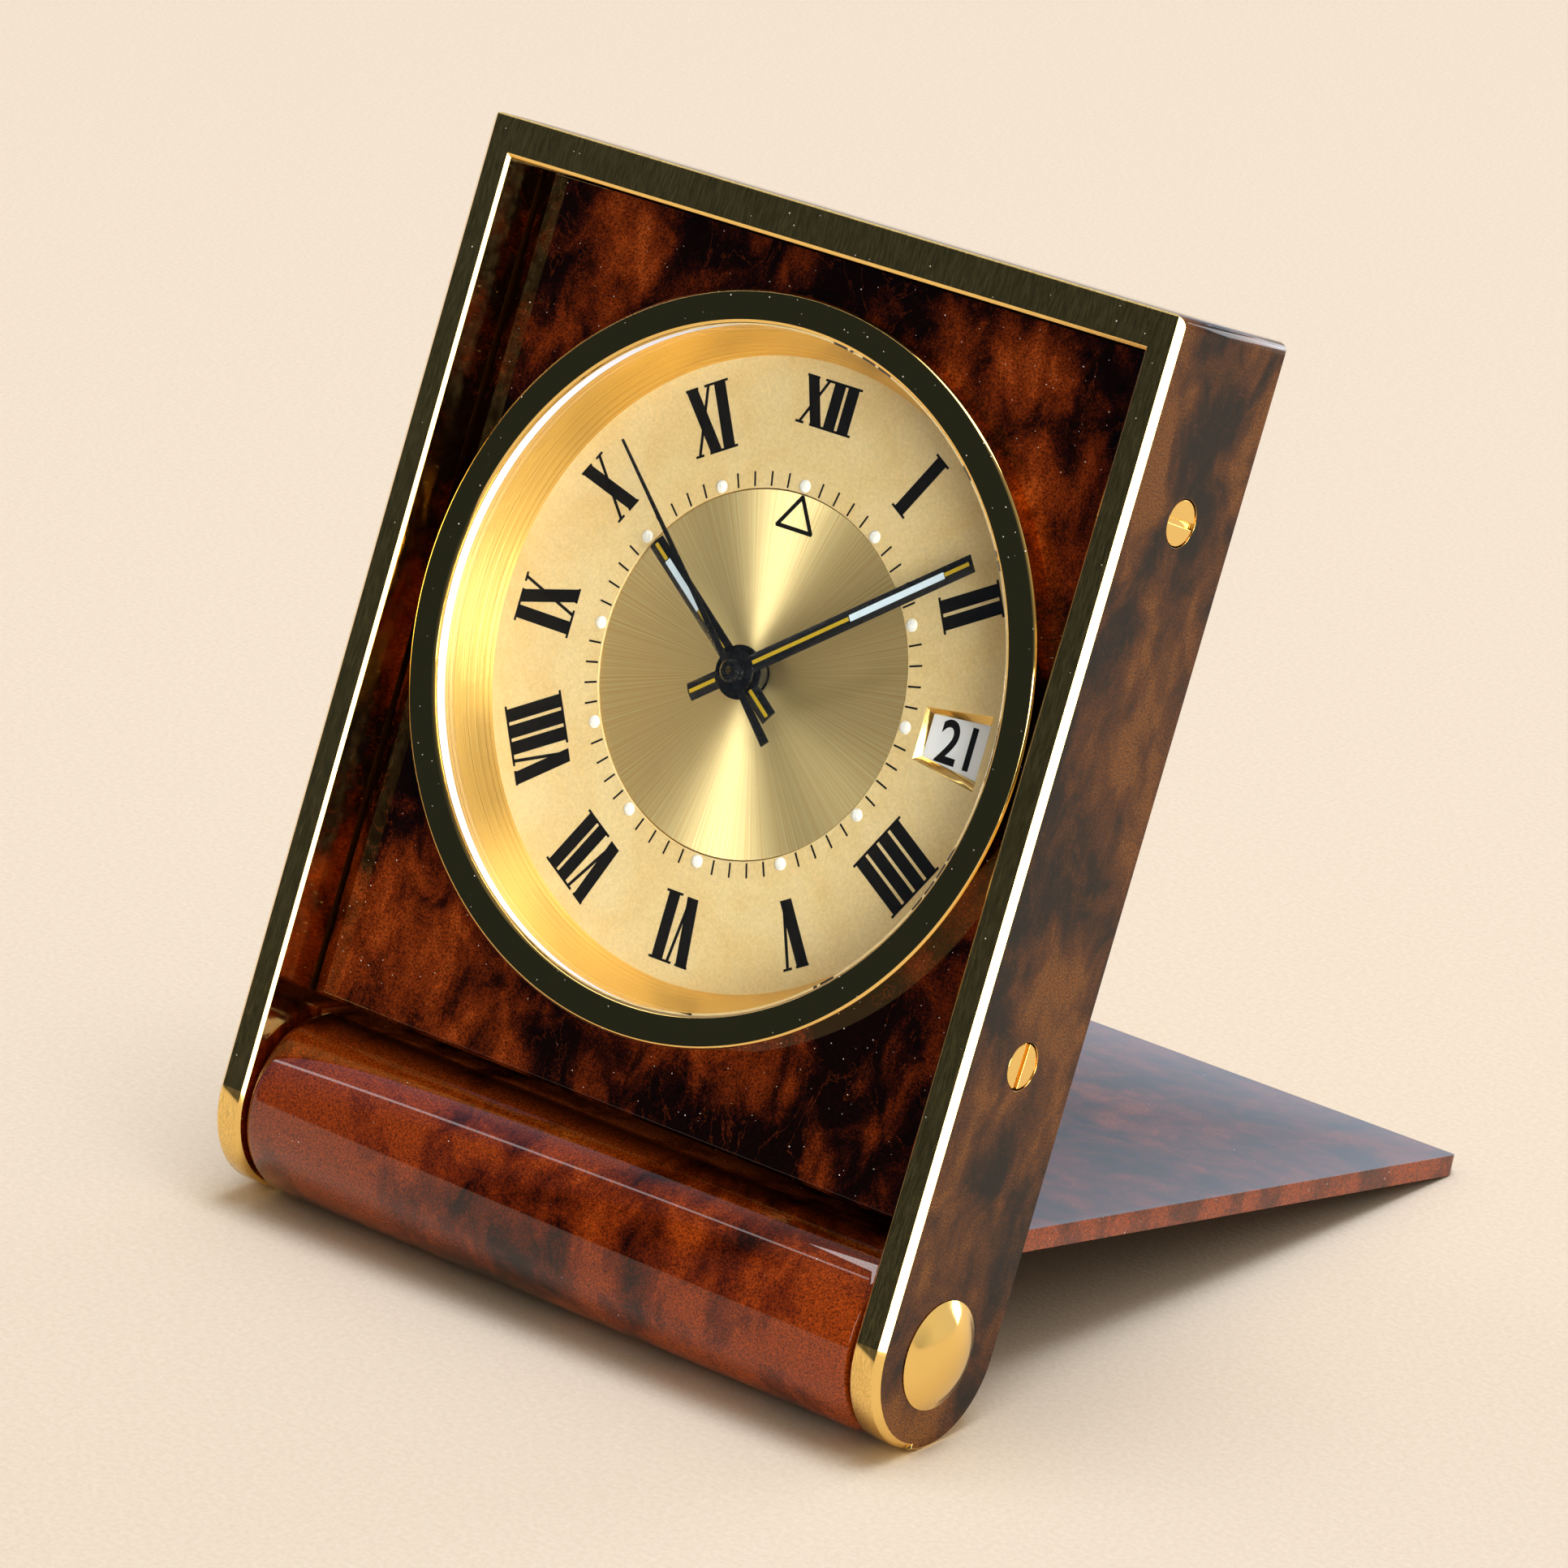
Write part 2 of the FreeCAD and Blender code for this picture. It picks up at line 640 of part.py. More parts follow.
third_distance = CENTRE_MODULE * (CENTRE_TEETH + THIRD_LEAVES) / 2
third_module = 2 * third_distance / (THIRD_TEETH + FOURTH_LEAVES)
escape_distance = FOURTH_MODULE * (FOURTH_TEETH + ESCAPE_LEAVES) / 2
barrel_distance = BARREL_MODULE * (BARREL_TEETH + CENTRE_LEAVES) / 2
motion_distance = CANNON_MODULE * (CANNON_LEAVES + MINUTE_TEETH) / 2
hour_module = 2 * motion_distance / (MINUTE_LEAVES + HOUR_TEETH)
strike_distance = ALARM_MODULE * (ALARM_TEETH + STRIKE_LEAVES) / 2
third_at = polar(third_distance, THIRD_ANGLE)
escape_at = polar(escape_distance, ESCAPE_ANGLE)
barrel_at = polar(barrel_distance, BARREL_ANGLE)
minute_wheel_at = polar(motion_distance, MINUTE_WHEEL_ANGLE)
strike_x, strike_y = polar(strike_distance, STRIKE_ANGLE)
strike_at = (ALARM_BARREL_AT[0] + strike_x, ALARM_BARREL_AT[1] + strike_y)

# Levels in the train space, each measured down from the back of the main plate.
WHEEL_THICKNESS = 0.14


def level(depth, thickness):
    """Two Z levels in the train space, from a depth below the main plate and a thickness."""
    return (plate_back - depth - thickness, plate_back - depth)


centre_wheel_z = level(0.08, WHEEL_THICKNESS)
centre_pinion_z = level(0.27, 0.42)
third_pinion_z = level(0.04, 0.24)
barrel_z = level(0.3, 1.1)
barrel_teeth_z = level(0.3, 0.3)
fourth_pinion_z = level(0.76, 0.36)
third_wheel_z = level(0.86, WHEEL_THICKNESS)
escape_wheel_z = level(0.86, WHEEL_THICKNESS)
fourth_wheel_z = level(1.5, WHEEL_THICKNESS)
escape_pinion_z = level(1.45, 0.28)
pallet_z = level(0.86, WHEEL_THICKNESS)
balance_z = level(1.25, 0.35)
strike_wheel_z = level(1.45, WHEEL_THICKNESS)
alarm_barrel_z = level(0.3, 1.0)
alarm_teeth_z = level(0.3, 0.3)
hammer_z = level(1.3, 0.5)


def arbor(centre, radius=ARBOR_RADIUS, back=None):
    """The steel axle of a wheel, standing between the main plate and its bridge."""
    end = bridge_front if back is None else back
    return disc(radius, (end + PIVOT_GAP, plate_back - PIVOT_GAP), centre)


# ---------------------------------------------------------------- hands
def clock_angle(turns):
    """The angle up from the right for a share of a turn clockwise from twelve."""
    return 90.0 - 360.0 * turns


seconds_turns = SECONDS_SHOWN / 60.0
minute_turns = (MINUTES_SHOWN + seconds_turns) / 60.0
hour_turns = (HOURS_SHOWN + minute_turns) / 12.0


def set_hand(shape, turns):
    """Turn a hand drawn along +X to what it shows, on the dial."""
    laid = shape.copy()
    laid.rotate(ORIGIN, Z_AXIS, clock_angle(turns))
    return on_dial(laid)


def baton(length, tail, width, z):
    """A straight hand with a low ridged top along its whole length."""
    half = width / 2
    profile = [Vector(-tail, -half, z[0]), Vector(-tail, half, z[0]), Vector(-tail, half, z[1] - HAND_RIDGE),
               Vector(-tail, 0.25 * half, z[1]), Vector(-tail, -0.25 * half, z[1]),
               Vector(-tail, -half, z[1] - HAND_RIDGE)]
    face = Part.Face(Part.makePolygon(profile + profile[:1]))
    return face.extrude(Vector(length + tail, 0, 0))


def make_hour_hand():
    """The short hand: a ridged baton, its boss pressed on the hour pipe, with a slot for its insert."""
    z = (HOUR_HAND_LEVEL, HOUR_HAND_LEVEL + HAND_THICKNESS)
    hand = fused([baton(HOUR_LENGTH, HOUR_TAIL, HAND_WIDTH, z), disc(HAND_BOSS + 0.25, z)])
    hand = hand.cut(disc(HOUR_PIPE_RADIUS, (-BIG, BIG)))
    slot = block((HOUR_LENGTH - 4.6, HOUR_LENGTH - 1.3), (-LUME_WIDTH / 2, LUME_WIDTH / 2), z)
    slot.translate(Vector(0, 0, LUME_INSET))
    return set_hand(hand.cut(slot), hour_turns), set_hand(lume_of(slot, z), hour_turns)


def lume_of(slot, z):
    """The luminous insert that fills a hand's slot, a little below the ridge."""
    box = slot.BoundBox
    return block((box.XMin, box.XMax), (box.YMin, box.YMax), (z[0] + LUME_INSET, z[1] - 0.01))


def make_minute_hand():
    """The long hand: a ridged baton, its boss pressed on the cannon pinion."""
    z = (MINUTE_HAND_LEVEL, MINUTE_HAND_LEVEL + HAND_THICKNESS)
    hand = fused([baton(MINUTE_LENGTH, MINUTE_TAIL, HAND_WIDTH, z), disc(HAND_BOSS, z)])
    hand = hand.cut(disc(CANNON_RADIUS, (-BIG, BIG)))
    slot = block((MINUTE_LENGTH - 7.6, MINUTE_LENGTH - 1.7), (-LUME_WIDTH / 2, LUME_WIDTH / 2), z)
    slot.translate(Vector(0, 0, LUME_INSET))
    return set_hand(hand.cut(slot), minute_turns), set_hand(lume_of(slot, z), minute_turns)


def make_seconds_hand():
    """The thin sweep hand with a widening tail and a small hub on its tube."""
    z = (SECONDS_HAND_LEVEL, SECONDS_HAND_LEVEL + 0.1)
    half, fine = SECONDS_WIDTH / 2, SECONDS_TIP_WIDTH / 2
    blade = prism([(-SECONDS_TAIL, -half), (0, -half), (SECONDS_LENGTH, -fine), (SECONDS_LENGTH, fine),
                   (0, half), (-SECONDS_TAIL, half)], z)
    hub = turned([
        (0, z[0]),
        (SECONDS_BOSS, z[0]),
        (SECONDS_BOSS, z[1] + 0.05),
        (SECONDS_BOSS - 0.2, z[1] + 0.15),
        (0, z[1] + 0.15),
    ])
    hand = fused([blade, hub]).cut(disc(SECONDS_ARBOR, (-BIG, BIG)))
    return set_hand(hand, seconds_turns)


# ---------------------------------------------------------------- motion work
motion_floor = plate_front - MOTION_RECESS_DEPTH
cannon_teeth_z = (motion_floor + 0.08, motion_floor + 0.28)
minute_wheel_z = (motion_floor + 0.1, motion_floor + 0.24)
minute_pinion_z = (motion_floor + 0.24, motion_floor + 0.5)
hour_wheel_z = (motion_floor + 0.34, motion_floor + 0.48)


def make_cannon_pinion():
    """The steel tube that carries the minute hand and drives the motion work."""
    teeth = toothed(CANNON_LEAVES, CANNON_MODULE, MINUTE_WHEEL_ANGLE, cannon_teeth_z)
    tube = disc(CANNON_RADIUS, (cannon_teeth_z[0], MINUTE_HAND_LEVEL + HAND_THICKNESS + 0.04))
    return on_dial(fused([teeth, tube]).cut(disc(SECONDS_ARBOR + PIPE_GAP, (-BIG, BIG))))


def make_hour_wheel():
    """The brass wheel and pipe that carry the hour hand."""
    turn = gap_angle(HOUR_TEETH, MINUTE_WHEEL_ANGLE)
    teeth = toothed(HOUR_TEETH, hour_module, turn, hour_wheel_z, True)
    pipe = disc(HOUR_PIPE_RADIUS, (hour_wheel_z[0], HOUR_HAND_LEVEL + HAND_THICKNESS + 0.03))
    return on_dial(fused([teeth, pipe]).cut(disc(CANNON_RADIUS + PIPE_GAP, (-BIG, BIG))))


def make_minute_wheel():
    """The idle wheel and pinion between the cannon pinion and the hour wheel."""
    facing = MINUTE_WHEEL_ANGLE + 180.0
    teeth = toothed(MINUTE_TEETH, CANNON_MODULE, gap_angle(MINUTE_TEETH, facing), minute_wheel_z, True,
                    minute_wheel_at)
    leaves = toothed(MINUTE_LEAVES, hour_module, facing, minute_pinion_z, False, minute_wheel_at)
    bore = disc(ARBOR_RADIUS + PIVOT_GAP, (-BIG, BIG), minute_wheel_at)
    return on_dial(fused([teeth, leaves]).cut(bore))


def make_alarm_disc():
    """The turning centre of the dial, on its pipe."""
    top = DIAL_FRONT - DISC_SINK
    plate = disc(DISC_RADIUS, (top - DISC_THICKNESS, top))
    pipe = disc(ALARM_PIPE_RADIUS, (date_front - DATE_THICKNESS + 0.1, top - DISC_THICKNESS + 0.05))
    return on_dial(fused([plate, pipe]).cut(disc(HOUR_PIPE_RADIUS + PIPE_GAP, (-BIG, BIG))))


def make_alarm_wheel():
    """The toothed wheel under the alarm disc, turned by the alarm crown."""
    z = (date_front - DATE_THICKNESS, date_front - 0.1)
    teeth = toothed(40, 0.22, 0.0, z, True)
    return on_dial(teeth.cut(disc(ALARM_PIPE_RADIUS, (-BIG, BIG))))


def make_date_ring():
    """The calendar ring with 31 inward teeth, under the dial."""
    z = (date_front - DATE_THICKNESS, date_front)
    pitch = 2 * pi / DATE_TEETH
    points = []
    for tooth in range(DATE_TEETH):
        middle = tooth * pitch
        for radius, share in ((DATE_INNER, -0.3), (DATE_INNER - DATE_TOOTH, 0.0), (DATE_INNER, 0.3)):
            points.append((radius * cos(middle + share * pitch), radius * sin(middle + share * pitch)))
    return on_dial(disc(DATE_OUTER, z).cut(prism(points, (z[0] - 1, z[1] + 1))))


# ---------------------------------------------------------------- movement: plates and bridges
def make_main_plate():
    """The brass plate that carries both trains, recessed at the front for the motion work."""
    plate = disc(MOVEMENT_RADIUS, (plate_back, plate_front))
    recess = disc(MOTION_RECESS_RADIUS, (motion_floor, BIG))
    cutters = [recess, disc(SECONDS_ARBOR + PIPE_GAP, (-BIG, BIG))]
    post = disc(ARBOR_RADIUS, (motion_floor - 0.2, plate_front), minute_wheel_at)
    return on_dial(plate.cut(cutters).fuse(post).removeSplitter())


def bridge_blank(outline):
    """A bridge: a bounded piece of a disc at the bridge level."""
    levels = (bridge_back, bridge_front)
    return prism(outline, levels).common(disc(MOVEMENT_RADIUS - 0.3, levels))


def bridge_with_feet(outline, feet):
    """A bridge with round feet down to the main plate."""
    solids = [bridge_blank(outline)]
    solids += [disc(BRIDGE_FOOT, (bridge_front - 0.2, plate_back), foot) for foot in feet]
    return on_dial(fused(solids))


def make_barrel_bridge():
    """The bridge over the mainspring barrel."""
    return bridge_with_feet([(-16, 5.2), (14, 5.2), (16, 16), (-16, 16)], [(-9.6, 9.4), (9.0, 10.4)])


def make_train_bridge():
    """The bridge over the going train."""
    outline = [(-13.5, 4.9), (7.0, 4.9), (7.0, -5.4), (-8.0, -6.3), (-10.8, -0.5), (-13.5, 1.8)]
    return bridge_with_feet(outline, [(-9.4, 1.2), (5.8, 3.9)])


def make_alarm_bridge():
    """The bridge over the alarm barrel, the strike wheel and the hammer."""
    return bridge_with_feet([(-9.0, -7.0), (-8.0, -6.6), (9.5, -5.7), (9.5, -16), (-12, -16)],
                            [(9.0, -8.6), (-4.2, -13.2)])


def make_balance_cock():
    """The cock that carries the balance and the pallet arbor."""
    outline = [(7.3, -4.4), (7.3, 4.4), (16, 4.4), (16, -4.4)]
    feet = [disc(COCK_FOOT, (bridge_front - 0.2, plate_back), foot) for foot in ((13.7, 3.3), (13.7, -3.3))]
    return on_dial(fused([bridge_blank(outline)] + feet))


def make_movement_ring():
    """The ring that holds the movement in the bore of the case and lets the stems through."""
    body = ring(MOVEMENT_RADIUS + HOLDER_GAP, BORE_RADIUS - PRESS_GAP,
                (case_back_z + BACK_SKIRT + PRESS_GAP, dial_back))
    holes = []
    for side in (-1, 1):
        hole = across(STEM_RADIUS + RUNNING_GAP, (MOVEMENT_RADIUS - 1, BORE_RADIUS + 1), 0, stem_level)
        hole.rotate(ORIGIN, Z_AXIS, side * STEM_ANGLE)
        holes.append(hole)
    return on_dial(body.cut(holes))


# ---------------------------------------------------------------- movement: wheels
def make_centre_wheel():
    """Centre wheel and pinion on the hollow centre arbor."""
    wheel = train_wheel(CENTRE_TEETH, CENTRE_MODULE, THIRD_ANGLE, centre_wheel_z, 1.3, arms=4)
    pinion = toothed(CENTRE_LEAVES, BARREL_MODULE, BARREL_ANGLE, (centre_pinion_z[0], centre_wheel_z[0]))
    whole = fused([wheel, pinion])
    return on_dial(whole.cut(disc(SECONDS_ARBOR + PIPE_GAP, (-BIG, BIG))))


def make_third_wheel():
    """Third wheel, pinion and arbor."""
    facing = THIRD_ANGLE + 180.0
    wheel = train_wheel(THIRD_TEETH, third_module, facing, third_wheel_z, 0.9, third_at)
    pinion = toothed(THIRD_LEAVES, CENTRE_MODULE, gap_angle(THIRD_LEAVES, facing), third_pinion_z, False,
                     third_at)
    return on_dial(fused([wheel, pinion, arbor(third_at)]))


def make_fourth_wheel():
    """Fourth wheel and pinion on the long arbor that carries the seconds hand."""
    wheel = train_wheel(FOURTH_TEETH, FOURTH_MODULE, ESCAPE_ANGLE, fourth_wheel_z, 0.9)
    pinion = toothed(FOURTH_LEAVES, third_module, gap_angle(FOURTH_LEAVES, THIRD_ANGLE), fourth_pinion_z)
    shaft = disc(SECONDS_ARBOR, (bridge_front + PIVOT_GAP, SECONDS_HAND_LEVEL + 0.2))
    collar = disc(0.45, (fourth_wheel_z[0], fourth_pinion_z[1]))
    return on_dial(fused([wheel, pinion, collar, shaft]))


def make_escape_wheel():
    """Escape wheel with its club teeth, pinion and arbor."""
    outer, root = 2.45, 1.95
    points = []
    pitch = 360.0 / ESCAPE_TEETH
    for tooth in range(ESCAPE_TEETH):
        start = tooth * pitch
        for radius, offset in ((root, 0.0), (outer - 0.12, 6.0), (outer, 9.0), (outer, 12.0), (root, 11.0)):
            x, y = polar(radius, start + offset)
            points.append((escape_at[0] + x, escape_at[1] + y))
    wheel = prism(points, escape_wheel_z)
    wheel = wheel.cut(crossings(0.7, root - 0.4, 3, 0.35, (-BIG, BIG), escape_at))
    facing = ESCAPE_ANGLE + 180.0
    pinion = toothed(ESCAPE_LEAVES, FOURTH_MODULE, gap_angle(ESCAPE_LEAVES, facing), escape_pinion_z, False,
                     escape_at)
    return on_dial(fused([wheel, pinion, arbor(escape_at)]))


def make_mainspring_barrel():
    """The toothed drum that holds the going mainspring, on its arbor."""
    facing = BARREL_ANGLE + 180.0
    teeth = toothed(BARREL_TEETH, BARREL_MODULE, gap_angle(BARREL_TEETH, facing), barrel_teeth_z, True,
                    barrel_at)
    drum = disc(BARREL_MODULE * (BARREL_TEETH / 2 - 1.15) - 0.35, barrel_z, barrel_at)
    return on_dial(fused([teeth, drum, arbor(barrel_at, radius=0.9)]))


def make_ratchet_wheels():
    """The two ratchet wheels on the barrel arbors, behind the bridges."""
    z = (bridge_back - 0.32, bridge_back - 0.04)
    return [on_dial(toothed(36, 0.2, 0.0, z, True, place)) for place in (barrel_at, ALARM_BARREL_AT)]


def make_alarm_barrel():
    """The smaller drum that holds the alarm mainspring."""
    teeth = toothed(ALARM_TEETH, ALARM_MODULE, STRIKE_ANGLE, alarm_teeth_z, True, ALARM_BARREL_AT)
    drum = disc(ALARM_MODULE * (ALARM_TEETH / 2 - 1.15) - 0.1, alarm_barrel_z, ALARM_BARREL_AT)
    return on_dial(fused([teeth, drum, arbor(ALARM_BARREL_AT, radius=0.8)]))


def make_strike_wheel():
    """The wheel that drives the alarm hammer to and fro."""
    turn = gap_angle(STRIKE_LEAVES, STRIKE_ANGLE + 180.0)
    wheel = train_wheel(24, 0.22, 0.0, strike_wheel_z, 0.8, strike_at)
    pinion = toothed(STRIKE_LEAVES, ALARM_MODULE, turn, alarm_teeth_z, False, strike_at)
    return on_dial(fused([wheel, pinion, arbor(strike_at)]))


def make_pallet_fork():
    """The lever between escape wheel and balance, with its two ruby pallets."""
    across_x, across_y = BALANCE_AT[0] - PALLET_AT[0], BALANCE_AT[1] - PALLET_AT[1]
    reach = hypot(across_x, across_y)
    lever = fused([
        prism([(-0.1, -1.25), (0.35, -1.25), (0.35, 1.25), (-0.1, 1.25)], pallet_z),
        prism([(0, -0.2), (reach - 0.75, -0.14), (reach - 0.75, 0.14), (0, 0.2)], pallet_z),
        disc(0.5, pallet_z),
    ])
    lever.rotate(ORIGIN, Z_AXIS, degrees(atan2(across_y, across_x)))
    lever.translate(Vector(PALLET_AT[0], PALLET_AT[1], 0))
    return on_dial(fused([lever, arbor(PALLET_AT, back=balance_z[1])]))


def make_balance():
    """The balance: a plain heavy rim on two arms, on its staff."""
    rim = ring(2.85, 3.25, balance_z, BALANCE_AT)
    arm_z = (balance_z[0] + 0.1, balance_z[1] - 0.1)
    bar = block((-3.0, 3.0), (-0.25, 0.25), arm_z)
    bar.translate(Vector(BALANCE_AT[0], BALANCE_AT[1], 0))
    hub = disc(0.6, balance_z, BALANCE_AT)
    return on_dial(fused([rim, bar, hub, arbor(BALANCE_AT)]))


def make_hammer():
    """The alarm hammer: an anchor at the strike wheel and a heavy head beside the gong pin."""
    to_gong = degrees(atan2(GONG_AT[1] - HAMMER_AT[1], GONG_AT[0] - HAMMER_AT[0]))
    reach = hypot(GONG_AT[1] - HAMMER_AT[1], GONG_AT[0] - HAMMER_AT[0])
    arm = fused([
        prism([(0, -0.45), (reach - 1.2, -1.1), (reach + 1.4, -1.75), (reach + 1.4, -0.75),
               (reach - 1.0, -0.55), (0, 0.45)], hammer_z),
        disc(0.7, hammer_z),
    ])
    arm.rotate(ORIGIN, Z_AXIS, to_gong)
    arm.translate(Vector(HAMMER_AT[0], HAMMER_AT[1], 0))
    return on_dial(fused([arm, arbor(HAMMER_AT)]))


# ---------------------------------------------------------------- stems, crowns and back
def make_stem():
    """A winding stem drawn along +X, from inside the movement to its crown."""
    return across(STEM_RADIUS, (stem_inner, CROWN_START + CROWN_BORE - RUNNING_GAP), 0, stem_level)


def make_crown():
    """A fluted crown drawn along +X, bored for its stem, with a domed end."""
    points = []
    for flute in range(CROWN_FLUTES):
        for share, radius in ((0.0, CROWN_RADIUS), (0.5, CROWN_RADIUS), (0.75, CROWN_RADIUS - FLUTE_DEPTH)):
            points.append(polar(radius, (flute + share) * 360.0 / CROWN_FLUTES))
    knob = prism(points, (0, CROWN_LENGTH - CROWN_FACE))
    knob = knob.fuse(disc(CROWN_RADIUS - 2 * FLUTE_DEPTH, (CROWN_LENGTH - CROWN_FACE, CROWN_LENGTH)))
    knob = knob.cut(disc(STEM_RADIUS + PIVOT_GAP, (-1, CROWN_BORE)))
    knob.rotate(ORIGIN, Y_AXIS, 90)
    knob.translate(Vector(CROWN_START, 0, stem_level))
    return knob


def make_case_back():
    """The round snap back, with a skirt in the bore and a bevelled rim."""
    skirt_outer = BORE_RADIUS - PRESS_GAP
    return on_dial(turned([
        (0, back_outer),
        (BACK_RADIUS - BACK_BEVEL, back_outer),
        (BACK_RADIUS, back_outer + BACK_BEVEL),
        (BACK_RADIUS, case_back_z),
        (skirt_outer, case_back_z),
        (skirt_outer, case_back_z + BACK_SKIRT),
        (skirt_outer - BACK_SKIRT_WALL, case_back_z + BACK_SKIRT),
        (skirt_outer - BACK_SKIRT_WALL, back_inner),
        (0, back_inner),
    ]))


def make_gong_pin():
    """The pin on the inside of the back that the hammer strikes to sound the alarm."""
    return on_dial(disc(0.5, (back_inner, hammer_z[1]), GONG_AT))


# ---------------------------------------------------------------- the assembly
add("frame", make_frame())
add("case_body", make_case_body())
add("side_screws", make_side_screws())
add("hinge_studs", make_hinge_studs())
add("friction_washers", make_friction_washers())
add("cover", make_cover())
add("barrel_bushes", make_barrel_bushes())

add("bezel", make_bezel())
add("crystal", make_crystal())
add("rehaut", make_rehaut())
add("dial", make_dial())
add("date_ring", make_date_ring())
add("alarm_disc", make_alarm_disc())
add("alarm_wheel", make_alarm_wheel())

hour_hand, hour_lume = make_hour_hand()
minute_hand, minute_lume = make_minute_hand()
add("hour_hand", hour_hand)
add("hour_hand_insert", hour_lume)
add("minute_hand", minute_hand)
add("minute_hand_insert", minute_lume)
add("seconds_hand", make_seconds_hand())
add("cannon_pinion", make_cannon_pinion())
add("hour_wheel", make_hour_wheel())
add("minute_wheel", make_minute_wheel())

add("movement_ring", make_movement_ring())
add("main_plate", make_main_plate())
add("barrel_bridge", make_barrel_bridge())
add("train_bridge", make_train_bridge())
add("alarm_bridge", make_alarm_bridge())
add("balance_cock", make_balance_cock())
add("centre_wheel", make_centre_wheel())
add("third_wheel", make_third_wheel())
add("fourth_wheel", make_fourth_wheel())
add("escape_wheel", make_escape_wheel())
add("pallet_fork", make_pallet_fork())
add("balance_wheel", make_balance())
add("mainspring_barrel", make_mainspring_barrel())
add("alarm_barrel", make_alarm_barrel())
going_ratchet, alarm_ratchet = make_ratchet_wheels()
add("going_ratchet_wheel", going_ratchet)
add("alarm_ratchet_wheel", alarm_ratchet)
add("strike_wheel", make_strike_wheel())
add("alarm_hammer", make_hammer())
for name, side in (("alarm", 1), ("time", -1)):
    add(name + "_stem", stem_frame(make_stem(), side))
    add(name + "_crown", stem_frame(make_crown(), side))
add("case_back", make_case_back())
add("gong_pin", make_gong_pin())

os.makedirs("parts", exist_ok=True)
for name, shape in pieces.items():
    if not shape.isValid():
        raise ValueError(name + " is not a valid solid")
    shape.exportStep(os.path.join("parts", name + ".step"))

print("stop angle", round(stop_angle, 3), "open turn", round(open_turn, 3))
print("cover slope", round(cover_slope, 3), "lean", round(lean, 3))
print("hinge axis at y", round(-footprint_middle, 4), "z", round(half_depth, 4))
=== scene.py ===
import json
from math import pi, radians

import bmesh
import bpy
from mathutils import Matrix, Vector


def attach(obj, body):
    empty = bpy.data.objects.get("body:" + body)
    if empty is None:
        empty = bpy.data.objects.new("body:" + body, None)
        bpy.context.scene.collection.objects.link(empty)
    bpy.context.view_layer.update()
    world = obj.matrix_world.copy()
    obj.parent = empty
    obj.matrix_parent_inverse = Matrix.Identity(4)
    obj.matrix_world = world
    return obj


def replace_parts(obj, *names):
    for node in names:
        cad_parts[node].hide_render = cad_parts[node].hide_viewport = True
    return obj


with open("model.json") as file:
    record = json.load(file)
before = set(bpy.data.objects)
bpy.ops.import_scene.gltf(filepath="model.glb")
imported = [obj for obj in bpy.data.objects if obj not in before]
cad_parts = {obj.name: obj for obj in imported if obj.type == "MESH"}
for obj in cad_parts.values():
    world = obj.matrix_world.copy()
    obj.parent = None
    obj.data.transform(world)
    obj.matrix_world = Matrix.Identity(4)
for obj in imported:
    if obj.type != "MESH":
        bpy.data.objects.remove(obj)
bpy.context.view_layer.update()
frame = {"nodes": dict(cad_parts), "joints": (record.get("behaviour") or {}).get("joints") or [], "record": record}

# ---- Case body
# The block that holds the movement: a square panel with bevelled sides round the dial, finished in
# glossy mottled lacquer like dark burr wood. Four screws through the brass arms hold it.
scene = bpy.context.scene
joints = {joint["name"]: joint for joint in frame["joints"]}
subparts = {part["node"]: part for part in frame["record"]["subparts"]}
groups = frame["record"]["behaviour"]["bodies"]

# FACE takes millimetres across, up and out of the clock's face, from the hinge axis, to their place.
# DIAL does the same from the dial's centre.
DIAL_CENTRE = (0, 28.83, 0)
right = Vector((1, 0, 0))
outward = -Vector(joints["seconds_turn"]["axis"])
up_face = outward.cross(right)
FACE = Matrix((right, up_face, outward)).transposed().to_4x4()
FACE.translation = Vector(joints["cover_hinge"]["pos_m"])
FACE = FACE @ Matrix.Scale(0.001, 4)
DIAL = FACE @ Matrix.Translation(DIAL_CENTRE)
to_face = FACE.inverted()


def facing(face):
    """The way a mesh's face points, across, up and out of the clock's face."""
    return (to_face.to_3x3() @ face.normal).normalized()


def material(name, colour, **values):
    """A new material, with the plain values of its surface."""
    finish = bpy.data.materials.new(name)
    finish.use_nodes = True
    finish.diffuse_color = (*colour, 1)
    surface = finish.node_tree.nodes["Principled BSDF"]
    surface.inputs["Base Color"].default_value = (*colour, 1)
    for socket, value in values.items():
        surface.inputs[socket.replace("_", " ")].default_value = value
    return finish


def add_node(finish, kind, inputs=None, **settings):
    """A node of a material or world, with its inputs set to values or joined to other nodes."""
    node = finish.node_tree.nodes.new("ShaderNode" + kind)
    for name, value in settings.items():
        setattr(node, name, value)
    for key, value in (inputs or {}).items():
        if isinstance(value, bpy.types.NodeSocket):
            finish.node_tree.links.new(value, node.inputs[key])
        else:
            node.inputs[key].default_value = value
    return node


def feed(finish, socket, value):
    """Joins an output to the surface of a material."""
    finish.node_tree.links.new(value, finish.node_tree.nodes["Principled BSDF"].inputs[socket])


def reckon(finish, operation, *values):
    """The result of one sum on numbers and other nodes' outputs."""
    return add_node(finish, "Math", dict(enumerate(values)), operation=operation).outputs[0]


def ramp(finish, factor, stops):
    """A colour ramp from (place, colour) stops."""
    node = add_node(finish, "ValToRGB", {"Fac": factor})
    elements = node.color_ramp.elements
    while len(elements) < len(stops):
        elements.new(0.5)
    for element, (place, colour) in zip(elements, stops):
        element.position = place
        element.color = (*colour, 1)
    return node.outputs["Color"]


